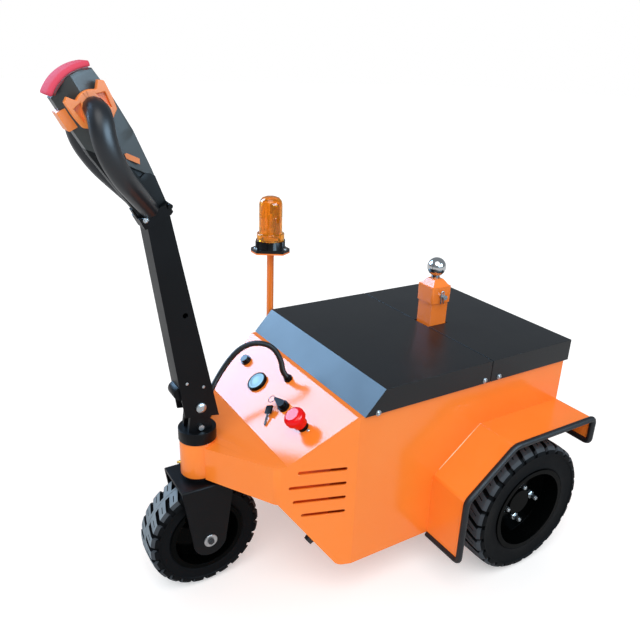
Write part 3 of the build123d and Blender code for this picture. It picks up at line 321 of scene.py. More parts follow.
def add_object(name: str, data: bpy.types.ID) -> bpy.types.Object:
    """Add an object to the scene.

    Args:
        name: Its name.
        data: Its mesh, curve, lamp or camera.

    Returns:
        The new object.
    """
    made = bpy.data.objects.new(name, data)
    bpy.context.scene.collection.objects.link(made)
    return made


def duplicate(piece: bpy.types.Object, name: str) -> bpy.types.Object:
    """Copy a piece, with its own mesh.

    Args:
        piece: The piece.
        name: The copy's name.

    Returns:
        The copy.
    """
    copy = piece.copy()
    copy.data = piece.data.copy()
    copy.name = name
    bpy.context.scene.collection.objects.link(copy)
    return copy


class Blank:
    """A piece on the bench, shaped in edit mode by operators that act on what is picked."""

    def __init__(self, name: str) -> None:
        """Clear the bench for a new piece.

        Args:
            name: The piece's name.
        """
        self.name = name
        self.piece: bpy.types.Object | None = None
        bpy.ops.object.select_all(action="DESELECT")

    def open(self) -> None:
        """Open the first primitive in edit mode, with its place in its mesh."""
        if self.piece is not None:
            return
        self.piece = bpy.context.active_object
        self.piece.name = self.name
        bpy.ops.object.transform_apply(location=True, rotation=True, scale=True)
        bpy.ops.object.mode_set(mode="EDIT")
        bpy.ops.mesh.select_all(action="SELECT")

    def block(self, size: tuple, centre: tuple = (0, 0, 0)) -> "Blank":
        """Start from a block.

        Args:
            size: Its three lengths.
            centre: Its centre.

        Returns:
            The blank itself, all picked.
        """
        bpy.ops.mesh.primitive_cube_add(size=1, location=centre, scale=size)
        self.open()
        return self

    def copied(self, node: str) -> "Blank":
        """Start from a merged copy of a CAD node's mesh.

        Args:
            node: The node's name.

        Returns:
            The blank itself, all picked.
        """
        self.piece = add_object(self.name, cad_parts[node].data.copy())
        bpy.context.view_layer.objects.active = self.piece
        self.piece.select_set(True)
        bpy.ops.object.mode_set(mode="EDIT")
        bpy.ops.mesh.select_all(action="SELECT")
        bpy.ops.mesh.remove_doubles(threshold=WELD_GAP)
        return self

    def turned(self, outline: Outline, sides: int) -> "Blank":
        """Add a closed body turned about Z, ring after ring.

        Args:
            outline: Radius and height of each ring, in millimetres.
            sides: Number of sides.

        Returns:
            The blank itself, with its last face picked.
        """
        radius, height = outline[0]
        if self.piece is not None:
            bpy.ops.mesh.select_all(action="DESELECT")
        bpy.ops.mesh.primitive_circle_add(vertices=sides, radius=radius * MM, fill_type="NGON",
                                          location=(0, 0, height * MM))
        self.open()
        for (low_radius, low), (high_radius, high) in zip(outline, outline[1:]):
            bpy.ops.mesh.extrude_region_move(TRANSFORM_OT_translate={"value": (0, 0, (high - low) * MM)})
            ratio = high_radius / low_radius
            bpy.ops.transform.resize(value=(ratio, ratio, 1), center_override=(0, 0, high * MM))
        return self

    def swept(self, points: Sequence[Vector], reaches: Sequence[float]) -> "Blank":
        """Sweep a round section along a smooth path.

        Args:
            points: Control points of the path, five or more.
            reaches: The section's radius at each point.

        Returns:
            The blank itself, all picked.
        """
        bpy.ops.curve.primitive_nurbs_path_add()
        curve = bpy.context.active_object.data
        curve.bevel_depth = 1.0
        curve.bevel_resolution = 4
        curve.use_fill_caps = True
        spline = curve.splines[0]
        spline.points.add(len(points) - len(spline.points))
        for point, place, reach in zip(spline.points, points, reaches):
            point.co = (*place, 1)
            point.radius = reach
        spline.order_u = 3
        spline.use_endpoint_u = True
        spline.resolution_u = 10
        bpy.ops.object.convert(target="MESH")
        self.open()
        return self

    def line(self, points: Sequence[Vector]) -> "Blank":
        """Draw a line of edges by extruding one vertex from point to point.

        Args:
            points: The line's points.

        Returns:
            The blank itself, with its last vertex picked.
        """
        bpy.ops.mesh.primitive_plane_add(size=MM, location=points[0])
        self.open()
        bpy.ops.mesh.merge(type="CENTER")
        for start, end in zip(points, points[1:]):
            bpy.ops.mesh.extrude_vertices_move(TRANSFORM_OT_translate={"value": end - start})
        return self

    def pick(self, test: Test) -> int:
        """Pick the faces that pass a test, and nothing else.

        Args:
            test: Takes a face's centre and normal.

        Returns:
            Number of faces picked.
        """
        bpy.ops.mesh.select_mode(type="FACE")
        bpy.ops.mesh.select_all(action="DESELECT")
        shape = bmesh.from_edit_mesh(self.piece.data)
        shape.normal_update()
        found = [face for face in shape.faces if test(face.calc_center_median(), face.normal)]
        for face in found:
            face.select_set(True)
        bmesh.update_edit_mesh(self.piece.data)
        return len(found)

    def pick_all(self) -> "Blank":
        """Pick the whole piece."""
        bpy.ops.mesh.select_all(action="SELECT")
        return self

    def press(self, factors: tuple) -> None:
        """Extrude what is picked and resize it about the origin, which presses it in or out.

        Args:
            factors: Scale along X, Y and Z.
        """
        bpy.ops.mesh.extrude_region_move()
        bpy.ops.transform.resize(value=factors, center_override=(0, 0, 0))

    def finish(self, finish: Finish, edge: float = 0.0, smooth: float = 35.0) -> bpy.types.Object:
        """Take the piece off the bench with outward faces, soft edges, shading and its material.

        Args:
            finish: Its surface.
            edge: Width of the bevel on its sharp edges.
            smooth: Angle in degrees above which an edge stays sharp.

        Returns:
            The finished piece.
        """
        bpy.ops.mesh.select_mode(type="VERT")
        bpy.ops.mesh.select_all(action="SELECT")
        bpy.ops.mesh.remove_doubles(threshold=WELD_GAP)
        bpy.ops.mesh.normals_make_consistent(inside=False)
        bpy.ops.object.mode_set(mode="OBJECT")
        piece = self.piece
        if edge > 0:
            bevel = piece.modifiers.new("edge", "BEVEL")
            bevel.width = edge
            bevel.segments = 2
            bevel.angle_limit = math.radians(smooth)
            bpy.ops.object.modifier_apply(modifier=bevel.name)
        bpy.ops.object.shade_smooth_by_angle(angle=math.radians(smooth))
        piece.data.materials.clear()
        piece.data.materials.append(finish.material())
        return piece


def mount(piece: bpy.types.Object, body: str, place: Matrix | None = None,
          stands_for: Iterable[str] = ()) -> None:
    """Put a finished piece in its place on a body.

    Args:
        piece: The piece.
        body: The CAD body that it rides on.
        place: Its place, if it was made at the origin.
        stands_for: CAD nodes that it replaces.
    """
    if place is not None:
        piece.data.transform(place)
    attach(piece, body)
    for node in stands_for:
        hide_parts(node)
    log.info("fitted %s on %s: %d faces", piece.name, body, len(piece.data.polygons))


def mount_copies(master: bpy.types.Object, body: str, places: Sequence[Matrix]) -> None:
    """Put a copy of a finished piece, with its own mesh, in each place, and clear the first one away.

    Args:
        master: The piece, made at the origin.
        body: The CAD body that the copies ride on.
        places: One place for each copy.
    """
    for number, place in enumerate(places, 1):
        mount(duplicate(master, f"{master.name}_{number}"), body, place)
    bpy.data.objects.remove(master)


class Dressing:
    """Finishes of the CAD nodes that stay in view."""

    finishes: dict[str, Finish] = {
        "side_panel_left": ORANGE, "side_panel_right": ORANGE, "rear_panel": ORANGE,
        "console_panel": ORANGE, "belly_pan": ORANGE, "head_tube": ORANGE,
        "cover_front": COVER_BLACK, "cover_rear": COVER_BLACK,
        "battery": BATTERY_CASE, "drive_axle": AXLE_IRON,
        "fender_left": ORANGE, "fender_right": ORANGE,
        "fender_trim_left": EDGE_RUBBER, "fender_trim_right": EDGE_RUBBER,
        "tow_post": ORANGE, "tow_collar": ORANGE, "tow_ball": BALL_CHROME, "tow_pin": ZINC,
        "beacon_pole": ORANGE, "beacon_base": BLACK_PLASTIC, "beacon_lens": AMBER,
        "gauge": DULL_PLASTIC, "key_switch": DULL_PLASTIC, "stop_base": DULL_PLASTIC,
        "stop_button": RED_PLASTIC, "socket": BLACK_PLASTIC, "hose_gland": DULL_PLASTIC,
        "hose_grommet": BLACK_PLASTIC, "hose": HOSE_RUBBER,
        "fork": ARM_BLACK, "steering_cap": ARM_BLACK, "lug_bolt": ZINC, "front_axle": ZINC,
        "front_tyre": TYRE_RUBBER, "front_rim": RIM_BLACK,
        "rear_tyre_left": TYRE_RUBBER, "rear_tyre_right": TYRE_RUBBER,
        "rear_rim_left": RIM_BLACK, "rear_rim_right": RIM_BLACK,
        "rear_studs_left": RIM_BLACK, "rear_studs_right": RIM_BLACK,
        "tiller_arm": ARM_BLACK, "pivot_bolt": ZINC,
        "head_housing": HEAD_GREY, "belly_button": BUTTON_RED, "thumb_rockers": ORANGE_PLASTIC,
        "handle_loops": GRIP, "head_bracket": ARM_BLACK, "head_switches": ORANGE_PLASTIC,
    }
    sharp: float = math.radians(35)
    edge_width: float = 0.8 * MM
    wide_edges: dict[str, float] = {
        "head_housing": 2.2 * MM, "thumb_rockers": 1.4 * MM, "stop_button": 2 * MM,
        "side_panel_left": 2.2 * MM, "side_panel_right": 2.2 * MM, "console_panel": 2.2 * MM,
        "cover_front": 1.4 * MM, "cover_rear": 1.4 * MM, "fender_left": 1.4 * MM, "fender_right": 1.4 * MM,
    }

    def dress(self) -> None:
        """Give each CAD node its finish and soft edges."""
        for name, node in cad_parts.items():
            finish = self.finishes[name]
            node.data.materials.clear()
            node.data.materials.append(finish.material())
            self.soften(node, self.wide_edges.get(name, self.edge_width))
            log.info("dressed %s in %s", name, finish.name)

    def soften(self, node: bpy.types.Object, width: float) -> None:
        """Round a node's sharp edges, as paint and moulds do.

        Args:
            node: CAD node, whose own mesh stays as it is.
            width: Width of the rounding.
        """
        weld = node.modifiers.new("weld", "WELD")
        weld.merge_threshold = WELD_GAP
        edge = node.modifiers.new("edge", "BEVEL")
        edge.width = width
        edge.segments = 2
        edge.limit_method = "ANGLE"
        edge.angle_limit = self.sharp
        edge.harden_normals = True


@dataclass
class Tyre:
    """Solid tyre with two rows of slanted, staggered blocks, which takes the place of a CAD tyre.

    One pitch of it is modelled: its cross-section is spun in uneven steps, the groove, the sipes and
    the parting line are pressed in, and the pitch is spun round the wheel.
    """

    node: str
    body: str
    bore: float
    blocks: int
    # Colour of the blocks' tops, with a painted reflection of the sky in it
    tread: Finish = DUST_AND_SHEEN_TREAD
    groove: float = 13 * MM
    groove_depth: float = 9 * MM
    shoulder_depth: float = 5 * MM
    rib: float = 6 * MM
    sipe: float = 2.6 * MM
    sipe_depth: float = 5 * MM
    sipe_start_share: float = 0.3
    sipe_end_share: float = 0.66
    parting: float = 0.7 * MM
    parting_depth: float = 1.4 * MM
    crown_edge: float = 10 * MM
    crown_fall: float = 2.2 * MM
    lug_drop: float = 18 * MM
    slant: float = math.radians(24)
    block_edge: float = 0.5 * MM

    def __post_init__(self) -> None:
        """Take the wheel's centre, radius and half width from the CAD tyre."""
        low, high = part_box(self.node)
        self.centre = (low + high) / 2
        self.radius = (high.z - low.z) / 2
        self.half = (high.y - low.y) / 2
        self.pitch = math.tau * self.radius / self.blocks

    def half_section(self) -> list[tuple[float, float]]:
        """List half of the cross-section, from the tread's middle to the bead.

        Returns:
            Distance off the middle and radius of each point.
        """
        half, top, bore = self.half, self.radius, self.bore
        return [
            (self.parting, top),
            (self.rib, top),
            (half * self.sipe_start_share, top),
            (half * self.sipe_end_share, top - 0.8 * MM),
            (half - self.crown_edge, top - 2 * MM),
            (half - 3 * MM, top - 9 * MM),
            (half, top - self.lug_drop),
            (half, top - 21 * MM),
            (half - 2.5 * MM, top - 23 * MM),
            (half - 3 * MM, (top - 23 * MM + bore + 13 * MM) / 2),
            (half - 4 * MM, bore + 14 * MM),
            (half - 3 * MM, bore + 12 * MM),
            (half - 5.3 * MM, bore + 9.5 * MM),
            (half - 5.3 * MM, bore + 0.4 * MM),
        ]

    def lean(self, off_middle: float) -> float:
        """Return the angle by which the slanted pattern turns a point off the tread's middle."""
        edge = self.half - self.crown_edge
        return math.tan(self.slant) * max(-edge, min(edge, off_middle)) / self.radius

    def column_lines(self) -> list[float]:
        """List the lines across one pitch where grooves and sipes begin and end.

        Returns:
            The lines' arc lengths from the start of the pitch.
        """
        lines = []
        for start in (0, self.pitch / 2):
            middle = start + self.groove / 2
            lines += [start, middle - self.sipe / 2, middle + self.sipe / 2, start + self.groove]
        return lines + [self.pitch]

    def along(self, centre: Vector) -> float:
        """Return how far round the tread a point of the first pitch lies, as an arc length."""
        angle = math.atan2(centre.z, centre.x) + self.lean(centre.y)
        return abs(angle) * self.radius

    def in_groove(self, centre: Vector) -> bool:
        """Tell whether a face belongs to the groove of its row.

        Args:
            centre: The face's centre.

        Returns:
            True for a face of the groove.
        """
        start = 0 if centre.y < 0 else self.pitch / 2
        reach = math.hypot(centre.x, centre.z)
        return (abs(centre.y) > self.rib and reach > self.radius - self.lug_drop
                and start < self.along(centre) < start + self.groove)

    def in_sipe(self, centre: Vector) -> bool:
        """Tell whether a face belongs to the sipe in the middle of a block.

        Args:
            centre: The face's centre.

        Returns:
            True for a face of the sipe.
        """
        middle = (self.pitch / 2 if centre.y < 0 else 0) + self.groove / 2
        off = abs(centre.y) / self.half
        return (self.sipe_start_share < off < self.sipe_end_share
                and math.hypot(centre.x, centre.z) > self.radius - 2 * MM
                and abs(self.along(centre) - middle) < self.sipe / 2)

    def sink(self, blank: Blank, depth: float, narrowing: float = 0.0) -> None:
        """Press what is picked into the tread.

        Args:
            blank: The tyre on the bench.
            depth: How much nearer to the axle it gets.
            narrowing: How much nearer to the middle it gets at the tyre's wall.
        """
        shrink = 1 - depth / self.radius
        blank.press((shrink, 1 - narrowing / self.half, shrink))

    def shade(self, tyre: bpy.types.Object) -> None:
        """Give the blocks' tops and shoulders their greyer finishes, which carry a painted reflection of the
        sky.

        Args:
            tyre: The finished tyre.
        """
        tyre.data.materials.append(self.tread.material())
        tyre.data.materials.append(DIM_SHEEN_TREAD.material())
        # Crown tops take the tread colour with its painted reflection, shoulders the dimmer one
        for face in tyre.data.polygons:
            reach = math.hypot(face.center.x, face.center.z)
            on_crown = abs(face.center.y) < self.half - self.crown_edge
            if on_crown and reach > self.radius - self.crown_fall:
                face.material_index = 1
            elif not on_crown and reach > self.radius - self.crown_edge:
                face.material_index = 2

    def build(self) -> None:
        """Model one pitch, spin it round the wheel and mount the tyre."""
        half = self.half_section()
        section = [(-off, reach) for off, reach in reversed(half)] + half
        section.append(section[0])
        points = [Vector((reach * math.cos(self.lean(off)), off, -reach * math.sin(self.lean(off))))
                  for off, reach in section]
        blank = Blank(self.node + "_tread").line(points)
        lines = self.column_lines()
        blank.pick_all()
        for start, end in zip(lines, lines[1:]):
            bpy.ops.mesh.spin(steps=1, angle=(end - start) / self.radius, center=(0, 0, 0), axis=(0, 1, 0))
        blank.pick_all()
        bpy.ops.mesh.remove_doubles(threshold=WELD_GAP)
        blank.pick(lambda centre, normal: abs(centre.y) < self.parting
                   and math.hypot(centre.x, centre.z) > self.radius - MM)
        self.sink(blank, self.parting_depth)
        sipes = blank.pick(lambda centre, normal: self.in_sipe(centre))
        self.sink(blank, self.sipe_depth)
        grooves = blank.pick(lambda centre, normal: self.in_groove(centre))
        self.sink(blank, self.groove_depth, self.shoulder_depth)
        log.info("%s: %d sipe and %d groove faces in a pitch", self.node, sipes, grooves)
        blank.pick_all()
        turn = math.tau / self.blocks
        bpy.ops.mesh.spin(steps=self.blocks - 1, angle=math.tau - turn, dupli=True,
                          center=(0, 0, 0), axis=(0, 1, 0))
        tyre = blank.finish(TYRE_RUBBER, edge=self.block_edge)
        self.shade(tyre)
        mount(tyre, self.body, Matrix.Translation(self.centre), [self.node])


@dataclass
class Console:
    """Fittings on the sloped panel: the gauge's window, a screw and the spare key."""

    top: Vector = spot(73, 0, 508.5)
    foot: Vector = spot(218, 0, 400.5)
    gauge_place: tuple = (90 * MM, -79 * MM, 7 * MM)
    screw_place: tuple = (93 * MM, 178 * MM, 0)
    hook: tuple = (98 * MM, 28 * MM, 16 * MM)
    key_head: tuple = (20 * MM, 6 * MM, 20 * MM)
    key_blade: tuple = (6.5 * MM, 2 * MM, 30 * MM)
    key_lean: tuple = (0.833, 0.5194, -0.2)
    key_drop: float = 17.1 * MM
    ring_radius: float = 9 * MM
    wire: float = 0.8 * MM
    tooth: float = 0.9 * MM

    def __post_init__(self) -> None:
        """Work out the panel's own directions."""
        self.along = (self.foot - self.top).normalized()
        self.across = Vector((0, 1, 0))
        self.normal = self.along.cross(self.across)

    def at(self, along: float, off: float, rise: float) -> Vector:
        """Return a point by its distance down the panel, off the middle and over the panel."""
        return self.top + self.along * along + self.across * off + self.normal * rise

    def gauge_window(self) -> None:
        """Model the gauge's crowned window with the ring printed under it."""
        outline = [(22.8, 0), (22.8, 0.8), (21.8, 1.4), (18.696, 1.9), (18.24, 1.6),
                   (17.556, 1.6), (17.1, 2), (9.12, 2.5), (1.14, 2.6)]
        window = Blank("gauge_window").turned(outline, 48).finish(GAUGE_GLASS, smooth=50)
        mount(window, "chassis", facing(self.at(*self.gauge_place), self.normal, self.along))

    def screw(self) -> None:
        """Model the round-headed screw beside the stop button."""
        outline = [(4, 0), (4, 0.6), (3.2, 1.8), (2, 2.4), (1.8, 1.2), (0.4, 1.2)]
        head = Blank("console_screw").turned(outline, 20).finish(ZINC)
        mount(head, "chassis", facing(self.at(*self.screw_place), self.normal))

    def key(self) -> None:
        """Model the spare key that hangs from the switch by a wire ring and leans on the panel."""
        tip = self.at(*self.hook)
        down = (self.along * self.key_lean[0] + self.across * self.key_lean[1]
                + self.normal * self.key_lean[2]).normalized()
        place = facing(tip, -down, self.across)
        ring = Blank("key_ring")
        bpy.ops.mesh.primitive_torus_add(major_radius=self.ring_radius, minor_radius=self.wire,
                                         major_segments=32, minor_segments=10)
        ring.open()
        mount(ring.finish(KEY_STEEL, smooth=60), "chassis", facing(tip, self.normal, down))
        height, length = self.key_head[2], self.key_blade[2]
        head = Blank("key_head").block(self.key_head, (0, 0, -self.key_drop - height / 2))
        head.pick(lambda centre, normal: abs(normal.y) > 0.9)
        bpy.ops.mesh.inset(thickness=1.6 * MM)
        bpy.ops.transform.resize(value=(1, 0.7, 1), center_override=(0, 0, 0))
        mount(head.finish(DULL_PLASTIC, edge=1.2 * MM), "chassis", place)
        blade_top = self.key_drop + height
        blade = Blank("key_blade").block(self.key_blade, (0, 0, -blade_top - length / 2))
        bpy.ops.mesh.subdivide(number_cuts=7)
        for share in (0.06, 0.26, 0.46, 0.66):
            level = -blade_top - length * share
            blade.pick(lambda centre, normal: normal.x > 0.9 and abs(centre.z - level) < length / 14)
            bpy.ops.transform.translate(value=(-self.tooth, 0, 0))
        blade.pick(lambda centre, normal: normal.z < -0.9)
        bpy.ops.transform.resize(value=(0.45, 1, 1), center_override=(0, 0, 0))
        mount(blade.finish(KEY_STEEL), "chassis", place)

    def build(self) -> None:
        """Model all of the panel's fittings."""
        self.gauge_window()
        self.screw()
        self.key()


@dataclass
class Hose:
    """Corrugated hose from the console's gland over to the neck, as one cord.

    The points of its crossing are in millimetres.
    """

    length: float = 0.364
    radius: float = 7 * MM
    rib_pitch: float = 2.6 * MM
    rib_depth: float = 0.7 * MM
    rings_per_rib: int = 4
    sides: int = 18
    gland: tuple = (33 * MM, 0.0, 12 * MM)
    straight: float = 20 * MM
    grommet: Vector = spot(283, -82, 392.84)
    grommet_height: float = 12 * MM
    neck_run: Vector = spot(123, 0, -14.5)
    crossing: tuple = ((121, 0, 545), (134, -24, 577), (167, -52, 582), (197, -73, 563),
                       (220, -88, 530), (242, -97, 492), (265, -96, 456))

    def route(self) -> list[Vector]:
        """List the points of the hose's route.

        Returns:
            The points, from the gland to the grommet.
        """
        console = Console()
        start = console.at(*self.gland)
        rise = self.neck_run.normalized().cross(Vector((0, 1, 0)))
        end = self.grommet + rise * self.grommet_height
        middle = [Vector(point) * MM for point in self.crossing]
        return [start, start + console.normal * self.straight, *middle, end + rise * self.straight, end]

    def centreline(self) -> list[Vector]:
        """Read the smooth line of the hose from a spline with the route as its control points.

        Returns:
            Points along the line.
        """
        curve = bpy.data.curves.new("hose_route", "CURVE")
        curve.dimensions = "3D"
        spline = curve.splines.new("NURBS")
        route = self.route()
        spline.points.add(len(route) - 1)
        for point, place in zip(spline.points, route):
            point.co = (*place, 1)
        spline.order_u = 3
        spline.use_endpoint_u = True
        spline.resolution_u = 24
        guide = add_object("hose_route", curve)
        bpy.context.view_layer.update()
        mesh = bpy.data.meshes.new_from_object(guide.evaluated_get(bpy.context.evaluated_depsgraph_get()))
        line = [vertex.co.copy() for vertex in mesh.vertices]
        bpy.data.meshes.remove(mesh)
        bpy.data.objects.remove(guide)
        return line

    def even(self, line: list[Vector], step: float) -> list[Vector]:
        """Space the line's points evenly.

        Args:
            line: Points along the line.
            step: Distance from one point to the next.

        Returns:
            The evenly spaced points.
        """
        spaced = [line[0]]
        left = step
        for start, end in zip(line, line[1:]):
            run = (end - start).length
            while left <= run:
                spaced.append(start.lerp(end, left / run))
                left += step
            left -= run
        return spaced

    def rings(self, line: list[Vector]) -> list[Vector]:
        """Lay a ring of points round each point of the line, narrower between the ribs.

        Args:
            line: The evenly spaced line.

        Returns:
            The points, ring after ring.
        """
        points = []
        side = Vector((0, 1, 0))
        for index, place in enumerate(line):
            ahead = (line[min(index + 1, len(line) - 1)] - line[max(index - 1, 0)]).normalized()
            side = (side - ahead * side.dot(ahead)).normalized()
            up = ahead.cross(side)
            wave = index % self.rings_per_rib in (1, 2)
            reach = self.radius - (self.rib_depth if wave else 0)
            for turn in range(self.sides):
                angle = math.tau * turn / self.sides
                points.append(place + (side * math.cos(angle) + up * math.sin(angle)) * reach)
        return points

    def build(self) -> None:
        line = self.even(self.centreline(), self.rib_pitch / self.rings_per_rib)
        sides, last = self.sides, (len(line) - 1) * self.sides
        faces = [[row + turn, row + (turn + 1) % sides, row + sides + (turn + 1) % sides, row + sides + turn]
                 for row in range(0, last, sides) for turn in range(sides)]
        faces.append(list(range(sides))[::-1])
        faces.append(list(range(last, last + sides)))
        mesh = bpy.data.meshes.new("hose_tube")
        mesh.from_pydata(self.rings(line), [], faces)
        hose = add_object("hose_tube", mesh)
        for face in mesh.polygons:
            face.use_smooth = True
        mesh.materials.append(HOSE_RUBBER.material())
        mount(hose, "chassis", None, ["hose"])


@dataclass
class Beacon:
    """Amber beacon: a ribbed lens shell over a lamp and its shield, on a black eared foot.

    Its sizes are in millimetres.
    """

    foot: Vector = spot(3, -290, 762)
    ears: Vector = spot(3, -290, 741)
    ear_circle: float = 45
    collar_radius: float = 37.5
    collar_height: float = 19
    lens_radius: float = 31.5
    height: float = 119
    wall: float = 2.6
    sides: int = 72
    shield_radius: float = 24
    shield_heights: tuple = (12, 54, 96)
    shield_start: float = 95
    shield_end: float = 250

    def column(self, centre: Vector) -> int:
        """Return the number of the lens's side that a face belongs to."""
        return int((math.atan2(centre.y, centre.x) % math.tau) / (math.tau / self.sides))

    def lens(self) -> None:
        """Model the hollow lens with its ribbed collar and the flutes inside it."""
        top, lens, collar, shelf = self.height, self.lens_radius, self.collar_radius, self.collar_height
        inner, ceiling = lens - self.wall, top - self.wall
        inside = [(1, ceiling), (lens * 0.35, ceiling - 0.6), (lens * 0.66, ceiling - 4.5),
                  (lens * 0.85, ceiling - 12), (inner, ceiling - 21), (inner, top * 0.56),
                  (inner, top * 0.54), (inner, 24), (inner, 1)]
        outside = [(collar, 0.5), (collar, 1), (collar, shelf - 1), (collar - 1, shelf),
                   (lens + 0.6, shelf + 0.6), (lens, shelf + 2.5), (lens, top * 0.54),
                   (lens + 0.4, top * 0.55), (lens, top * 0.56), (lens, top - 21),
                   (lens * 0.93, top - 12), (lens * 0.74, top - 4.4), (lens * 0.42, top - 0.6), (1, top)]
        blank = Blank("beacon_lens_shell").turned(inside + outside, self.sides)
        blank.pick(lambda centre, normal: 1 < centre.z / MM < shelf - 1 and self.column(centre) % 4 < 2
                   and centre.xy.length / MM > collar - 0.5)
        blank.press((0.985, 0.985, 1))
        blank.pick(lambda centre, normal: 24 < centre.z / MM < top - 23 and self.column(centre) % 6 < 3
                   and abs(centre.xy.length / MM - inner) < 0.5)
        blank.press((0.96, 0.96, 1))
        mount(blank.finish(AMBER, smooth=30), "chassis", Matrix.Translation(self.foot), ["beacon_lens"])

    def lamp(self) -> None:
        """Model the lamp holder with its bulb."""
        outline = [(20, 0.5), (20, 5), (12, 8), (11, 34), (8, 36), (7.5, 48), (9, 55), (8, 64),
                   (4, 69), (0.5, 70)]
        bulb = Blank("beacon_lamp").turned(outline, 32).finish(REFLECTOR)
        mount(bulb, "chassis", Matrix.Translation(self.foot))

    def shielded(self, centre: Vector) -> bool:
        """Tell whether a face of the turned drum belongs to the shield."""
        return self.shield_start < math.degrees(math.atan2(centre.y, centre.x)) % 360 < self.shield_end

    def shield(self) -> None:
        """Model the curved shield behind the lamp, cut from a drum, whose dark back paints shade into the
        lens.
        """
        drum = [(self.shield_radius, height) for height in self.shield_heights]
        shield = Blank("beacon_shield_painted_shade").turned(drum, 36)
        shield.pick(lambda centre, normal: abs(normal.z) > 0.9 or not self.shielded(centre))
        bpy.ops.mesh.delete(type="FACE")
        shield.pick_all()
        bpy.ops.mesh.solidify(thickness=1.2 * MM)
        mount(shield.finish(SHIELD_PAINTED_SHADE), "chassis", Matrix.Translation(self.foot))

    def ear_screws(self) -> None:
        """Model the screws through the foot's three ears."""
        outline = [(7, 0), (7, 1), (4.6, 1), (4.6, 3.4), (3.6, 4.2), (2.2, 4.2), (2, 2.2), (0.5, 2.2)]
        screw = Blank("beacon_screw").turned(outline, 18).finish(ZINC)
        angles = [math.tau * third / 3 for third in range(3)]
        reaches = [Vector((math.cos(angle), math.sin(angle), 0)) * self.ear_circle * MM for angle in angles]
        mount_copies(screw, "chassis", [Matrix.Translation(self.ears + reach) for reach in reaches])

    def build(self) -> None:
        """Model the whole beacon."""
        self.lens()
        self.lamp()
        self.shield()
        self.ear_screws()


@dataclass
class Fasteners:
    """Bolts, rivets and the grease nipple that hold and serve the machine.

    Their places and sizes are in millimetres.
    """

    cover_bolts: tuple = ((-292, 271, 517), (-340, 271, 517), (26, 271, 512))
    rivets: tuple = ((371, 28, 553), (333, 28, 537))
    pivot_ends: tuple = ((341, 32, 487),)
    nipple: Vector = spot(341, 0, 328)
    nipple_angle: float = math.radians(-23)
    head_radius: float = 42

    def paired(self) -> None:
        """Model what both sides carry: the cover's socket-headed bolts, rivets and the pivot's domes."""
        bolt = [(7, 0), (7, 1.2), (5, 1.2), (5, 3), (4, 4.4), (2.6, 4.8), (2.4, 2.4), (0.5, 2.4)]
        rivet = [(3.75, 0), (3.75, 0.4), (3.2, 1.2), (1.8, 1.6), (0.4, 1.7)]
        dome = [(11.6, 0), (11.4, 1.2), (9, 3), (5.5, 4), (5, 2.6), (0.6, 2.6)]
        for name, outline, sides, body, places in (
                ("cover_bolt", bolt, 24, "chassis", self.cover_bolts),
                ("arm_rivet", rivet, 20, "tiller", self.rivets),
                ("pivot_dome", dome, 32, "tiller", self.pivot_ends)):
            mount_copies(Blank(name).turned(outline, sides).finish(ZINC), body, both_sides(places))

    def grease_nipple(self) -> None:
        """Model the grease nipple in the front of the head tube."""
        outline = [(4.4, -1), (4.4, 3), (3, 3.4), (2.8, 5), (3.4, 5.6), (3.4, 6.6), (1.8, 8), (0.5, 8.2)]
        nipple = Blank("grease_nipple").turned(outline, 16).finish(BRASS)
        outward = Vector((math.cos(self.nipple_angle), math.sin(self.nipple_angle), 0))
        mount(nipple, "chassis", facing(self.nipple + outward * self.head_radius * MM, outward))

    def build(self) -> None:
        """Model all the fasteners."""
        self.paired()
        self.grease_nipple()


@dataclass
class Wheels:
    """Axle bolt of the front wheel and the nuts on the rear wheels' studs.

    Its sizes are in millimetres.
    """

    front_centre: Vector = spot(341, 0, 140.5)
    fork_half: float = 62
    axle_radius: float = 10
    washer_radius: float = 16.5
    washer_height: float = 3
    rear_centre: Vector = spot(-395, 0, 178)
    disc_face: float = 338
    stud_circle: float = 50

    def axle(self) -> None:
        """Model the front axle with its washers, and the dark nuts at its ends."""
        leg, tip = self.fork_half, self.fork_half + self.washer_height
        shaft, rim = self.axle_radius, self.washer_radius
        outline = [(rim - 0.4, -tip), (rim, 0.4 - tip), (rim, -leg), (shaft, -leg),
                   (shaft, leg), (rim, leg), (rim, tip - 0.4), (rim - 0.4, tip)]
        axle = Blank("axle_shaft").turned(outline, 48).finish(ZINC)
        mount(axle, "steering", facing(self.front_centre, Vector((0, 1, 0))), ["front_axle"])
        outline = [(8, 0), (8, 5), (6.6, 6), (4.4, 6), (4.4, 8), (3.4, 8.8)]
        nut = Blank("axle_nut").turned(outline, 6).finish(AXLE_IRON)
        end = self.front_centre / MM + Vector((0, tip, 0))
        mount_copies(nut, "steering", both_sides([end]))

    def nuts(self) -> None:
        """Model the nuts with their studs' ends on the rear wheels' discs."""
        blank = Blank("wheel_nut").turned([(11.6, 0), (11.6, 8), (10, 9.6), (6.6, 9.6)], 6)
        blank.turned([(6.4, 9), (6.4, 24), (4.6, 26.4)], 20)
        nut = blank.finish(ZINC, edge=0.4 * MM)
        for side, name in SIDES:
            places = []
            for quarter in range(4):
                angle = math.tau * quarter / 4
                reach = Vector((math.cos(angle), 0, math.sin(angle))) * self.stud_circle
                foot = self.rear_centre + (reach + Vector((0, side * self.disc_face, 0))) * MM
                places.append(facing(foot, Vector((0, side, 0))))
            mount_copies(duplicate(nut, f"wheel_nut_{name}"), f"rear_wheel_{name}", places)
        bpy.data.objects.remove(nut)

    def build(self) -> None:
        """Model the fasteners of all three wheels."""
        self.axle()
        self.nuts()


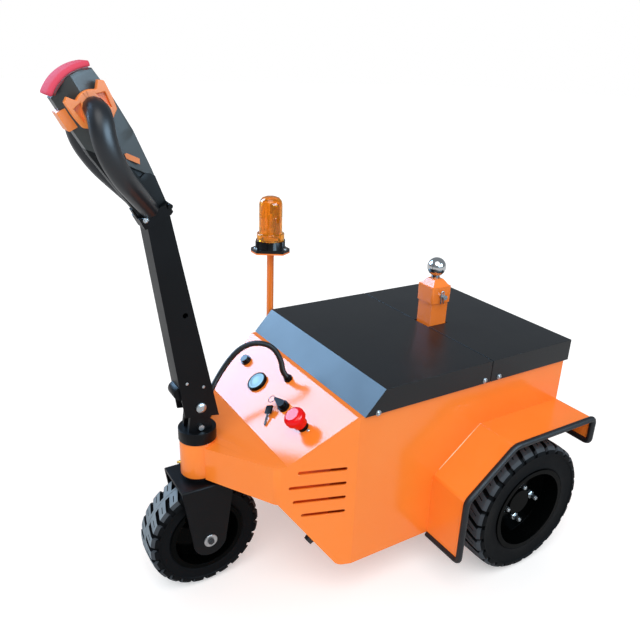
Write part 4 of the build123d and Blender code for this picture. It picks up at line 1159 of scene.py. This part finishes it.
@dataclass
class FenderEdge:
    """Thick rubber moulding round one fender's edge, with the lower part of its rear flange."""

    side: int
    name: str
    y_inner: float = 266 * MM
    y_outer: float = 383 * MM
    radius: float = 8 * MM
    rear_x: float = -591 * MM
    sheet_x: float = -592.8 * MM
    rear_z: float = 318 * MM
    top_z: float = 389 * MM
    shoulder_x: float = -306 * MM
    foot_x: float = -167 * MM
    fall_z: float = 279 * MM
    foot_z: float = 105 * MM
    flange_top: float = 384 * MM
    bend: float = 28 * MM
    body_half: float = 264.5 * MM
    seam_reaches: tuple = (0.6 * MM, 1.3 * MM, 1.3 * MM, 0.8 * MM, 0.4 * MM)
    seam_rise: float = 1.2 * MM
    seam_end: float = 12 * MM
    sheet: float = 4.4 * MM

    def corners(self) -> list[Vector]:
        """List the corners of the moulding's middle line.

        Returns:
            The corners, from the rear flange to the foot.
        """
        inner, outer = self.side * self.y_inner, self.side * self.y_outer
        return [Vector(point) for point in (
            (self.rear_x, inner, self.rear_z), (self.rear_x, outer, self.rear_z),
            (self.rear_x, outer, self.top_z), (self.shoulder_x, outer, self.top_z),
            (self.foot_x, outer, self.fall_z), (self.foot_x, outer, self.foot_z),
            (self.foot_x, inner, self.foot_z))]

    def route(self) -> list[Vector]:
        """List the moulding's control points: each bend has one before and one after its corner.

        Returns:
            The control points.
        """
        corners = self.corners()
        line = [corners[0]]
        for before, corner, after in zip(corners, corners[1:], corners[2:]):
            line.append(corner + (before - corner).normalized() * self.bend)
            line.append(corner)
            line.append(corner + (after - corner).normalized() * self.bend)
        return line + [corners[-1]]

    def moulding(self) -> None:
        """Sweep the moulding's round section round the fender's edge."""
        line = self.route()
        blank = Blank(f"fender_edge_{self.name}").swept(line, [self.radius] * len(line))
        mount(blank.finish(EDGE_RUBBER, smooth=50), "chassis", None, [f"fender_trim_{self.name}"])

    def seam(self) -> None:
        """Lay a pale bead where the fender's slope meets the body: a painted highlight along the joint."""
        flank = self.side * self.body_half
        top = Vector((self.shoulder_x, flank, self.top_z + self.seam_rise))
        foot = Vector((self.foot_x + self.seam_rise, flank, self.fall_z))
        line = [top, top.lerp(foot, 0.33), top.lerp(foot, 0.66), foot, foot - Vector((0, 0, self.seam_end))]
        blank = Blank(f"fender_seam_{self.name}").swept(line, self.seam_reaches)
        mount(blank.finish(SEAM_HIGHLIGHT, smooth=50), "chassis")

    def flange(self) -> None:
        """Model the lower part of the rear flange, down to the moulding."""
        size = (self.sheet, self.y_outer - self.y_inner, self.flange_top - self.rear_z)
        centre = (self.sheet_x, self.side * (self.y_outer + self.y_inner) / 2,
                  (self.flange_top + self.rear_z) / 2)
        plate = Blank(f"fender_flange_{self.name}").block(size, centre)
        plate.pick(lambda at, normal: normal.z < -0.9)
        bpy.ops.transform.resize(value=(1, 0.97, 1), center_override=centre)
        mount(plate.finish(ORANGE, edge=0.4 * MM), "chassis")

    def build(self) -> None:
        """Model the fender's edge."""
        self.moulding()
        self.seam()
        self.flange()


@dataclass
class TillerHead:
    """Safety button, grips, lower shell in painted shade, and bolts of the moulded tiller head.

    Its sizes are in millimetres, on its own axes: X to the head's front, Y to the left and Z along it.
    """

    base: Vector = spot(418, 0, 934)
    lean: float = math.radians(28)
    end: tuple = (-3, 0, 207)
    cap_radius: float = 91
    cap_inner: float = 81.5
    cap_half: float = 38
    cap_start: float = math.radians(-20)
    cap_end: float = math.radians(37)
    skirt_radius: float = 84
    skirt_inner: float = 77
    skirt_half: float = 34
    bracket_bolt: tuple = (24, 32, 2)
    shell_split: tuple = ((-2, 0, 105), (-38, 0, 60))
    shell_step: float = 0.8
    loop_route: tuple = ((1, 47, 225), (1, 90, 227), (29, 109, 174), (30, 92, 112), (17, 58, 60), (6, 26, 14))
    loop_reaches: tuple = (20, 22.5, 22, 20.5, 20, 18.5)

    def place(self, front: float, across: float, along: float) -> Matrix:
        """Work out the place of a point of the head, turned to the head's own axes.

        Args:
            front: Its distance to the head's front.
            across: Its distance to the left.
            along: Its distance along the head.

        Returns:
            The place.
        """
        axis = Vector((math.sin(self.lean), 0, math.cos(self.lean)))
        ahead = Vector((math.cos(self.lean), 0, -math.sin(self.lean)))
        reach = ahead * front + axis * along + Vector((0, across, 0))
        return facing(self.base + reach * MM, axis, ahead)

    def band(self, name: str, section: Outline) -> Blank:
        """Spin a closed section round the end of the head.

        Args:
            name: The piece's name.
            section: Distance off the middle and radius of each point.

        Returns:
            The open blank.
        """
        start_sin, start_cos = math.sin(self.cap_start), math.cos(self.cap_start)
        points = [Vector((reach * start_sin, off, reach * start_cos)) * MM
                  for off, reach in (*section, section[0])]
        blank = Blank(name).line(points).pick_all()
        bpy.ops.mesh.spin(steps=16, angle=self.cap_start - self.cap_end, center=(0, 0, 0), axis=(0, 1, 0))
        blank.pick_all()
        bpy.ops.mesh.remove_doubles(threshold=WELD_GAP)
        bpy.ops.mesh.fill_holes(sides=0)
        return blank

    def button(self) -> None:
        """Model the safety button's soft cap with its rounded rim and ends."""
        half, top, low = self.cap_half, self.cap_radius, self.cap_inner
        side = [(half - 2, low), (half - 0.4, low + 0.8), (half, low + 2.5), (half - 0.6, top - 4.5),
                (half - 2.6, top - 2.2), (half - 6, top - 0.8), (half - 11, top)]
        blank = self.band("safety_button", side + [(-off, reach) for off, reach in reversed(side)])
        for angle, way in ((self.cap_start, -1), (self.cap_end, 1)):
            outward = Vector((math.cos(angle), 0, -math.sin(angle))) * way
            middle = Vector((math.sin(angle), 0, math.cos(angle))) * (top + low) / 2 * MM
            blank.pick(lambda centre, normal: normal.dot(outward) > 0.97
                       and (centre - middle).length < 12 * MM)
            for rise, ratio in ((2, 0.965), (1.4, 0.93), (0.8, 0.86)):
                step = outward * rise * MM
                bpy.ops.mesh.extrude_region_move(TRANSFORM_OT_translate={"value": step})
                bpy.ops.transform.resize(value=(ratio, ratio, ratio), center_override=middle)
                middle = middle + step
        mount(blank.finish(BUTTON_RED, smooth=60), "tiller", self.place(*self.end), ["belly_button"])

    def skirt(self) -> None:
        """Model the skirt that the safety button slides on."""
        half, top, low = self.skirt_half, self.skirt_radius, self.skirt_inner
        blank = self.band("button_skirt", [(half, low), (half, top), (-half, top), (-half, low)])
        mount(blank.finish(SKIRT_RED, edge=0.6 * MM), "tiller", self.place(*self.end))

    def loops(self) -> None:
        """Sweep the grips, thickest where the hands hold them beside the rockers."""
        for side, name in SIDES:
            line = [self.place(front, side * off, along).translation for front, off, along in self.loop_route]
            blank = Blank(f"handle_grip_{name}").swept(line, [reach * MM for reach in self.loop_reaches])
            mount(blank.finish(GRIP, smooth=50), "tiller", None, ["handle_loops"])

    def lower_shell(self) -> None:
        """Cut the lower half of the shell from a copy of the housing and let it stand a little proud, dark
        with painted shade.
        """
        high, low = (self.place(*point).translation for point in self.shell_split)
        blank = Blank("head_shell_painted_shade").copied("head_housing")
        bpy.ops.mesh.bisect(plane_co=high, plane_no=(low - high).cross(Vector((0, 1, 0))), use_fill=True,
                            clear_inner=True)
        blank.pick_all()
        bpy.ops.mesh.normals_make_consistent(inside=False)
        bpy.ops.transform.shrink_fatten(value=self.shell_step * MM)
        mount(blank.finish(SHELL_PAINTED_SHADE, edge=0.6 * MM), "tiller")

    def bracket_bolts(self) -> None:
        """Model the domed bolts in the sides of the head's bracket."""
        outline = [(6, 0), (6, 1), (5, 2.6), (3, 3.6), (2.6, 2), (0.5, 2)]
        bolt = Blank("bracket_bolt").turned(outline, 24).finish(ZINC)
        mount_copies(bolt, "tiller", both_sides([self.place(*self.bracket_bolt).translation / MM]))

    def build(self) -> None:
        """Model the head's parts."""
        self.button()
        self.skirt()
        self.loops()
        self.lower_shell()
        self.bracket_bolts()


@dataclass
class BellyStop:
    """Small black rubber stop under the body's sloped front."""

    place: Vector = spot(160, 222, 190)
    slope: Vector = spot(137.5, 0, 192)
    size: tuple = (24 * MM, 14 * MM, 16 * MM)

    def build(self) -> None:
        """Model the stop with its hollowed foot."""
        along = self.slope.normalized()
        outward = along.cross(Vector((0, -1, 0)))
        block = Blank("belly_stop").block(self.size)
        block.pick(lambda centre, normal: normal.z > 0.9)
        bpy.ops.transform.resize(value=(0.8, 0.8, 1), center_override=(0, 0, 0))
        bpy.ops.mesh.inset(thickness=2 * MM)
        bpy.ops.mesh.extrude_region_move(TRANSFORM_OT_translate={"value": (0, 0, -2 * MM)})
        mount(block.finish(EDGE_RUBBER, edge=0.8 * MM), "chassis", facing(self.place, outward, along))


@dataclass
class Studio:
    """Floor, lamps, sky and the camera at the photograph's viewpoint."""

    eye: Vector = spot(809.26, 1260.01, 1224.71)
    target: Vector = spot(15.657, 0, 631.635)
    roll: float = math.radians(2.28)
    lens: float = 36.797
    floor_size: float = 60.0
    floor_lift: float = 0.34
    sky_strength: float = 0.62
    mirrored_sky: float = 0.4
    sun_strength: float = 1.8
    sun_spread: float = math.radians(50)
    sun_direction: tuple = (-0.35, -0.5, -0.8)
    inner_power: float = 0.22
    inner_size: float = 50 * MM
    inner_place: Vector = spot(170, 0, 270)

    def camera(self) -> None:
        """Place the camera that looks from the front left, from above."""
        data = bpy.data.cameras.new("camera")
        data.sensor_width = SENSOR_WIDTH
        data.lens = self.lens
        data.clip_end = 200
        camera = add_object("camera", data)
        camera.rotation_mode = "QUATERNION"
        camera.location = self.eye
        turn = (self.target - self.eye).to_track_quat("-Z", "Y")
        camera.rotation_quaternion = turn @ Quaternion((0, 0, 1), self.roll)
        bpy.context.scene.camera = camera

    def seen(self, tree: bpy.types.NodeTree) -> bpy.types.NodeSocket:
        """Add a value that is 1 where the camera looks, also through glass, and 0 for other light.

        Args:
            tree: Node tree of the floor or the sky.

        Returns:
            The value's socket.
        """
        path = add_node(tree, "LightPath").outputs
        return add_node(tree, "Math", {"operation": "MAXIMUM"},
                        {0: path["Is Camera Ray"], 1: path["Is Transmission Ray"]}).outputs[0]

    def floor(self) -> None:
        """Lay a pale floor that reads as white where no shadow falls."""
        bpy.ops.object.select_all(action="DESELECT")
        bpy.ops.mesh.primitive_plane_add(size=self.floor_size)
        floor = bpy.context.active_object
        floor.name = "floor"
        paint = bpy.data.materials.new("floor_paint")
        paint.use_nodes = True
        tree = paint.node_tree
        tree.nodes.clear()
        matt = add_node(tree, "BsdfDiffuse", {"Color": linear("#E6E6E6")})
        lift = add_node(tree, "Emission", {"Color": linear("#FFFFFF")})
        strength = add_node(tree, "Math", {"operation": "MULTIPLY", 1: self.floor_lift},
                            {0: self.seen(tree)})
        tree.links.new(strength.outputs[0], lift.inputs["Strength"])
        both = add_node(tree, "AddShader", links={0: matt.outputs[0], 1: lift.outputs[0]})
        add_node(tree, "OutputMaterial", links={"Surface": both.outputs[0]})
        floor.data.materials.append(paint)

    def sky(self) -> None:
        """Set an even pale sky, white where the camera or glass sees it, and dimmer where gloss sees it."""
        world = bpy.data.worlds.new("sky")
        bpy.context.scene.world = world
        world.use_nodes = True
        tree = world.node_tree
        tree.nodes.clear()
        white = add_node(tree, "Background", {"Color": linear("#FFFFFF"), "Strength": 1.0})
        pale = add_node(tree, "Background", {"Color": linear("#F4F7FA"), "Strength": self.sky_strength})
        dim = add_node(tree, "Background", {"Color": linear("#E4EDF6"), "Strength": self.mirrored_sky})
        mixed = add_node(tree, "MixShader",
                         links={0: self.seen(tree), 1: pale.outputs[0], 2: white.outputs[0]})
        gloss = add_node(tree, "LightPath").outputs["Is Glossy Ray"]
        whole = add_node(tree, "MixShader", links={0: gloss, 1: mixed.outputs[0], 2: dim.outputs[0]})
        add_node(tree, "OutputWorld", links={"Surface": whole.outputs[0]})

    def lamp(self, name: str, kind: str, power: float, place: Sequence[float],
             direction: Sequence[float] = (0, 0, -1)) -> bpy.types.Object:
        """Add a lamp.

        Args:
            name: Its name.
            kind: Blender's name for its kind.
            power: Its power in watts, or a sun's strength.
            place: Where it stands.
            direction: Where it faces.

        Returns:
            The lamp.
        """
        data = bpy.data.lights.new(name, kind)
        data.energy = power
        lamp = add_object(name, data)
        lamp.location = place
        lamp.rotation_mode = "QUATERNION"
        lamp.rotation_quaternion = Vector(direction).to_track_quat("-Z", "Y")
        return lamp

    def sun(self) -> None:
        """Add a wide soft sun from over the camera's shoulder, which lights floor and machine evenly."""
        sun = self.lamp("soft_sun", "SUN", self.sun_strength, (0, 0, 0), self.sun_direction)
        sun.data.angle = self.sun_spread

    def window(self, name: str, place: Vector, target: Vector, size: tuple[float, float], power: float,
               tint: str) -> None:
        """Hang a bright panel of sky that glossy surfaces mirror and that lights nothing else.

        Args:
            name: The panel's name.
            place: Its centre.
            target: Point that it faces.
            size: Its width and height.
            power: Its power in watts.
            tint: Its colour.
        """
        panel = self.lamp(name, "AREA", power, place, target - place)
        panel.data.shape = "RECTANGLE"
        panel.data.size, panel.data.size_y = size
        panel.data.color = linear(tint)[:3]
        panel.visible_diffuse = False
        panel.visible_camera = False

    def inner_light(self) -> None:
        """Light the nose from inside, so that its slots show the battery's orange case."""
        lamp = self.lamp("inner_light", "POINT", self.inner_power, self.inner_place)
        lamp.data.shadow_soft_size = self.inner_size
        lamp.visible_camera = False

    def build(self) -> None:
        """Set up the whole studio."""
        bpy.context.scene.view_settings.view_transform = "Standard"
        self.camera()
        self.floor()
        self.sky()
        self.sun()
        self.inner_light()
        # Mirrored in the console and the cover's slope
        self.window("far_window", place=Vector((1.35, -2.4, 2.15)), target=Vector((0.1, 0, 0.45)),
                    size=(2.0, 1.7), power=172, tint="#A4D2FF")
        # Mirrored in the tiller head's flank and the grips
        self.window("near_window", place=Vector((-0.7, 2.5, 1.9)), target=Vector((0.5, 0, 1.1)),
                    size=(2.6, 1.2), power=160, tint="#B6D6EE")


def main() -> None:
    """Build the studio, dress the frame and model the finer pieces."""
    logging.basicConfig(level=logging.INFO, format="%(name)s: %(message)s")
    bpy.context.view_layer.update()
    Studio().build()
    Dressing().dress()
    Tyre("front_tyre", "front_wheel", bore=84 * MM, blocks=24).build()
    # The rear treads take the dimmer tread colour, with the fenders' shade painted into it
    for _, name in SIDES:
        Tyre(f"rear_tyre_{name}", f"rear_wheel_{name}", bore=106 * MM, blocks=26, tread=DIM_SHEEN_TREAD).build()
    Hose().build()
    Console().build()
    Beacon().build()
    Fasteners().build()
    Wheels().build()
    for side, name in SIDES:
        FenderEdge(side, name).build()
    TillerHead().build()
    BellyStop().build()


if __name__ == "__main__":
    main()
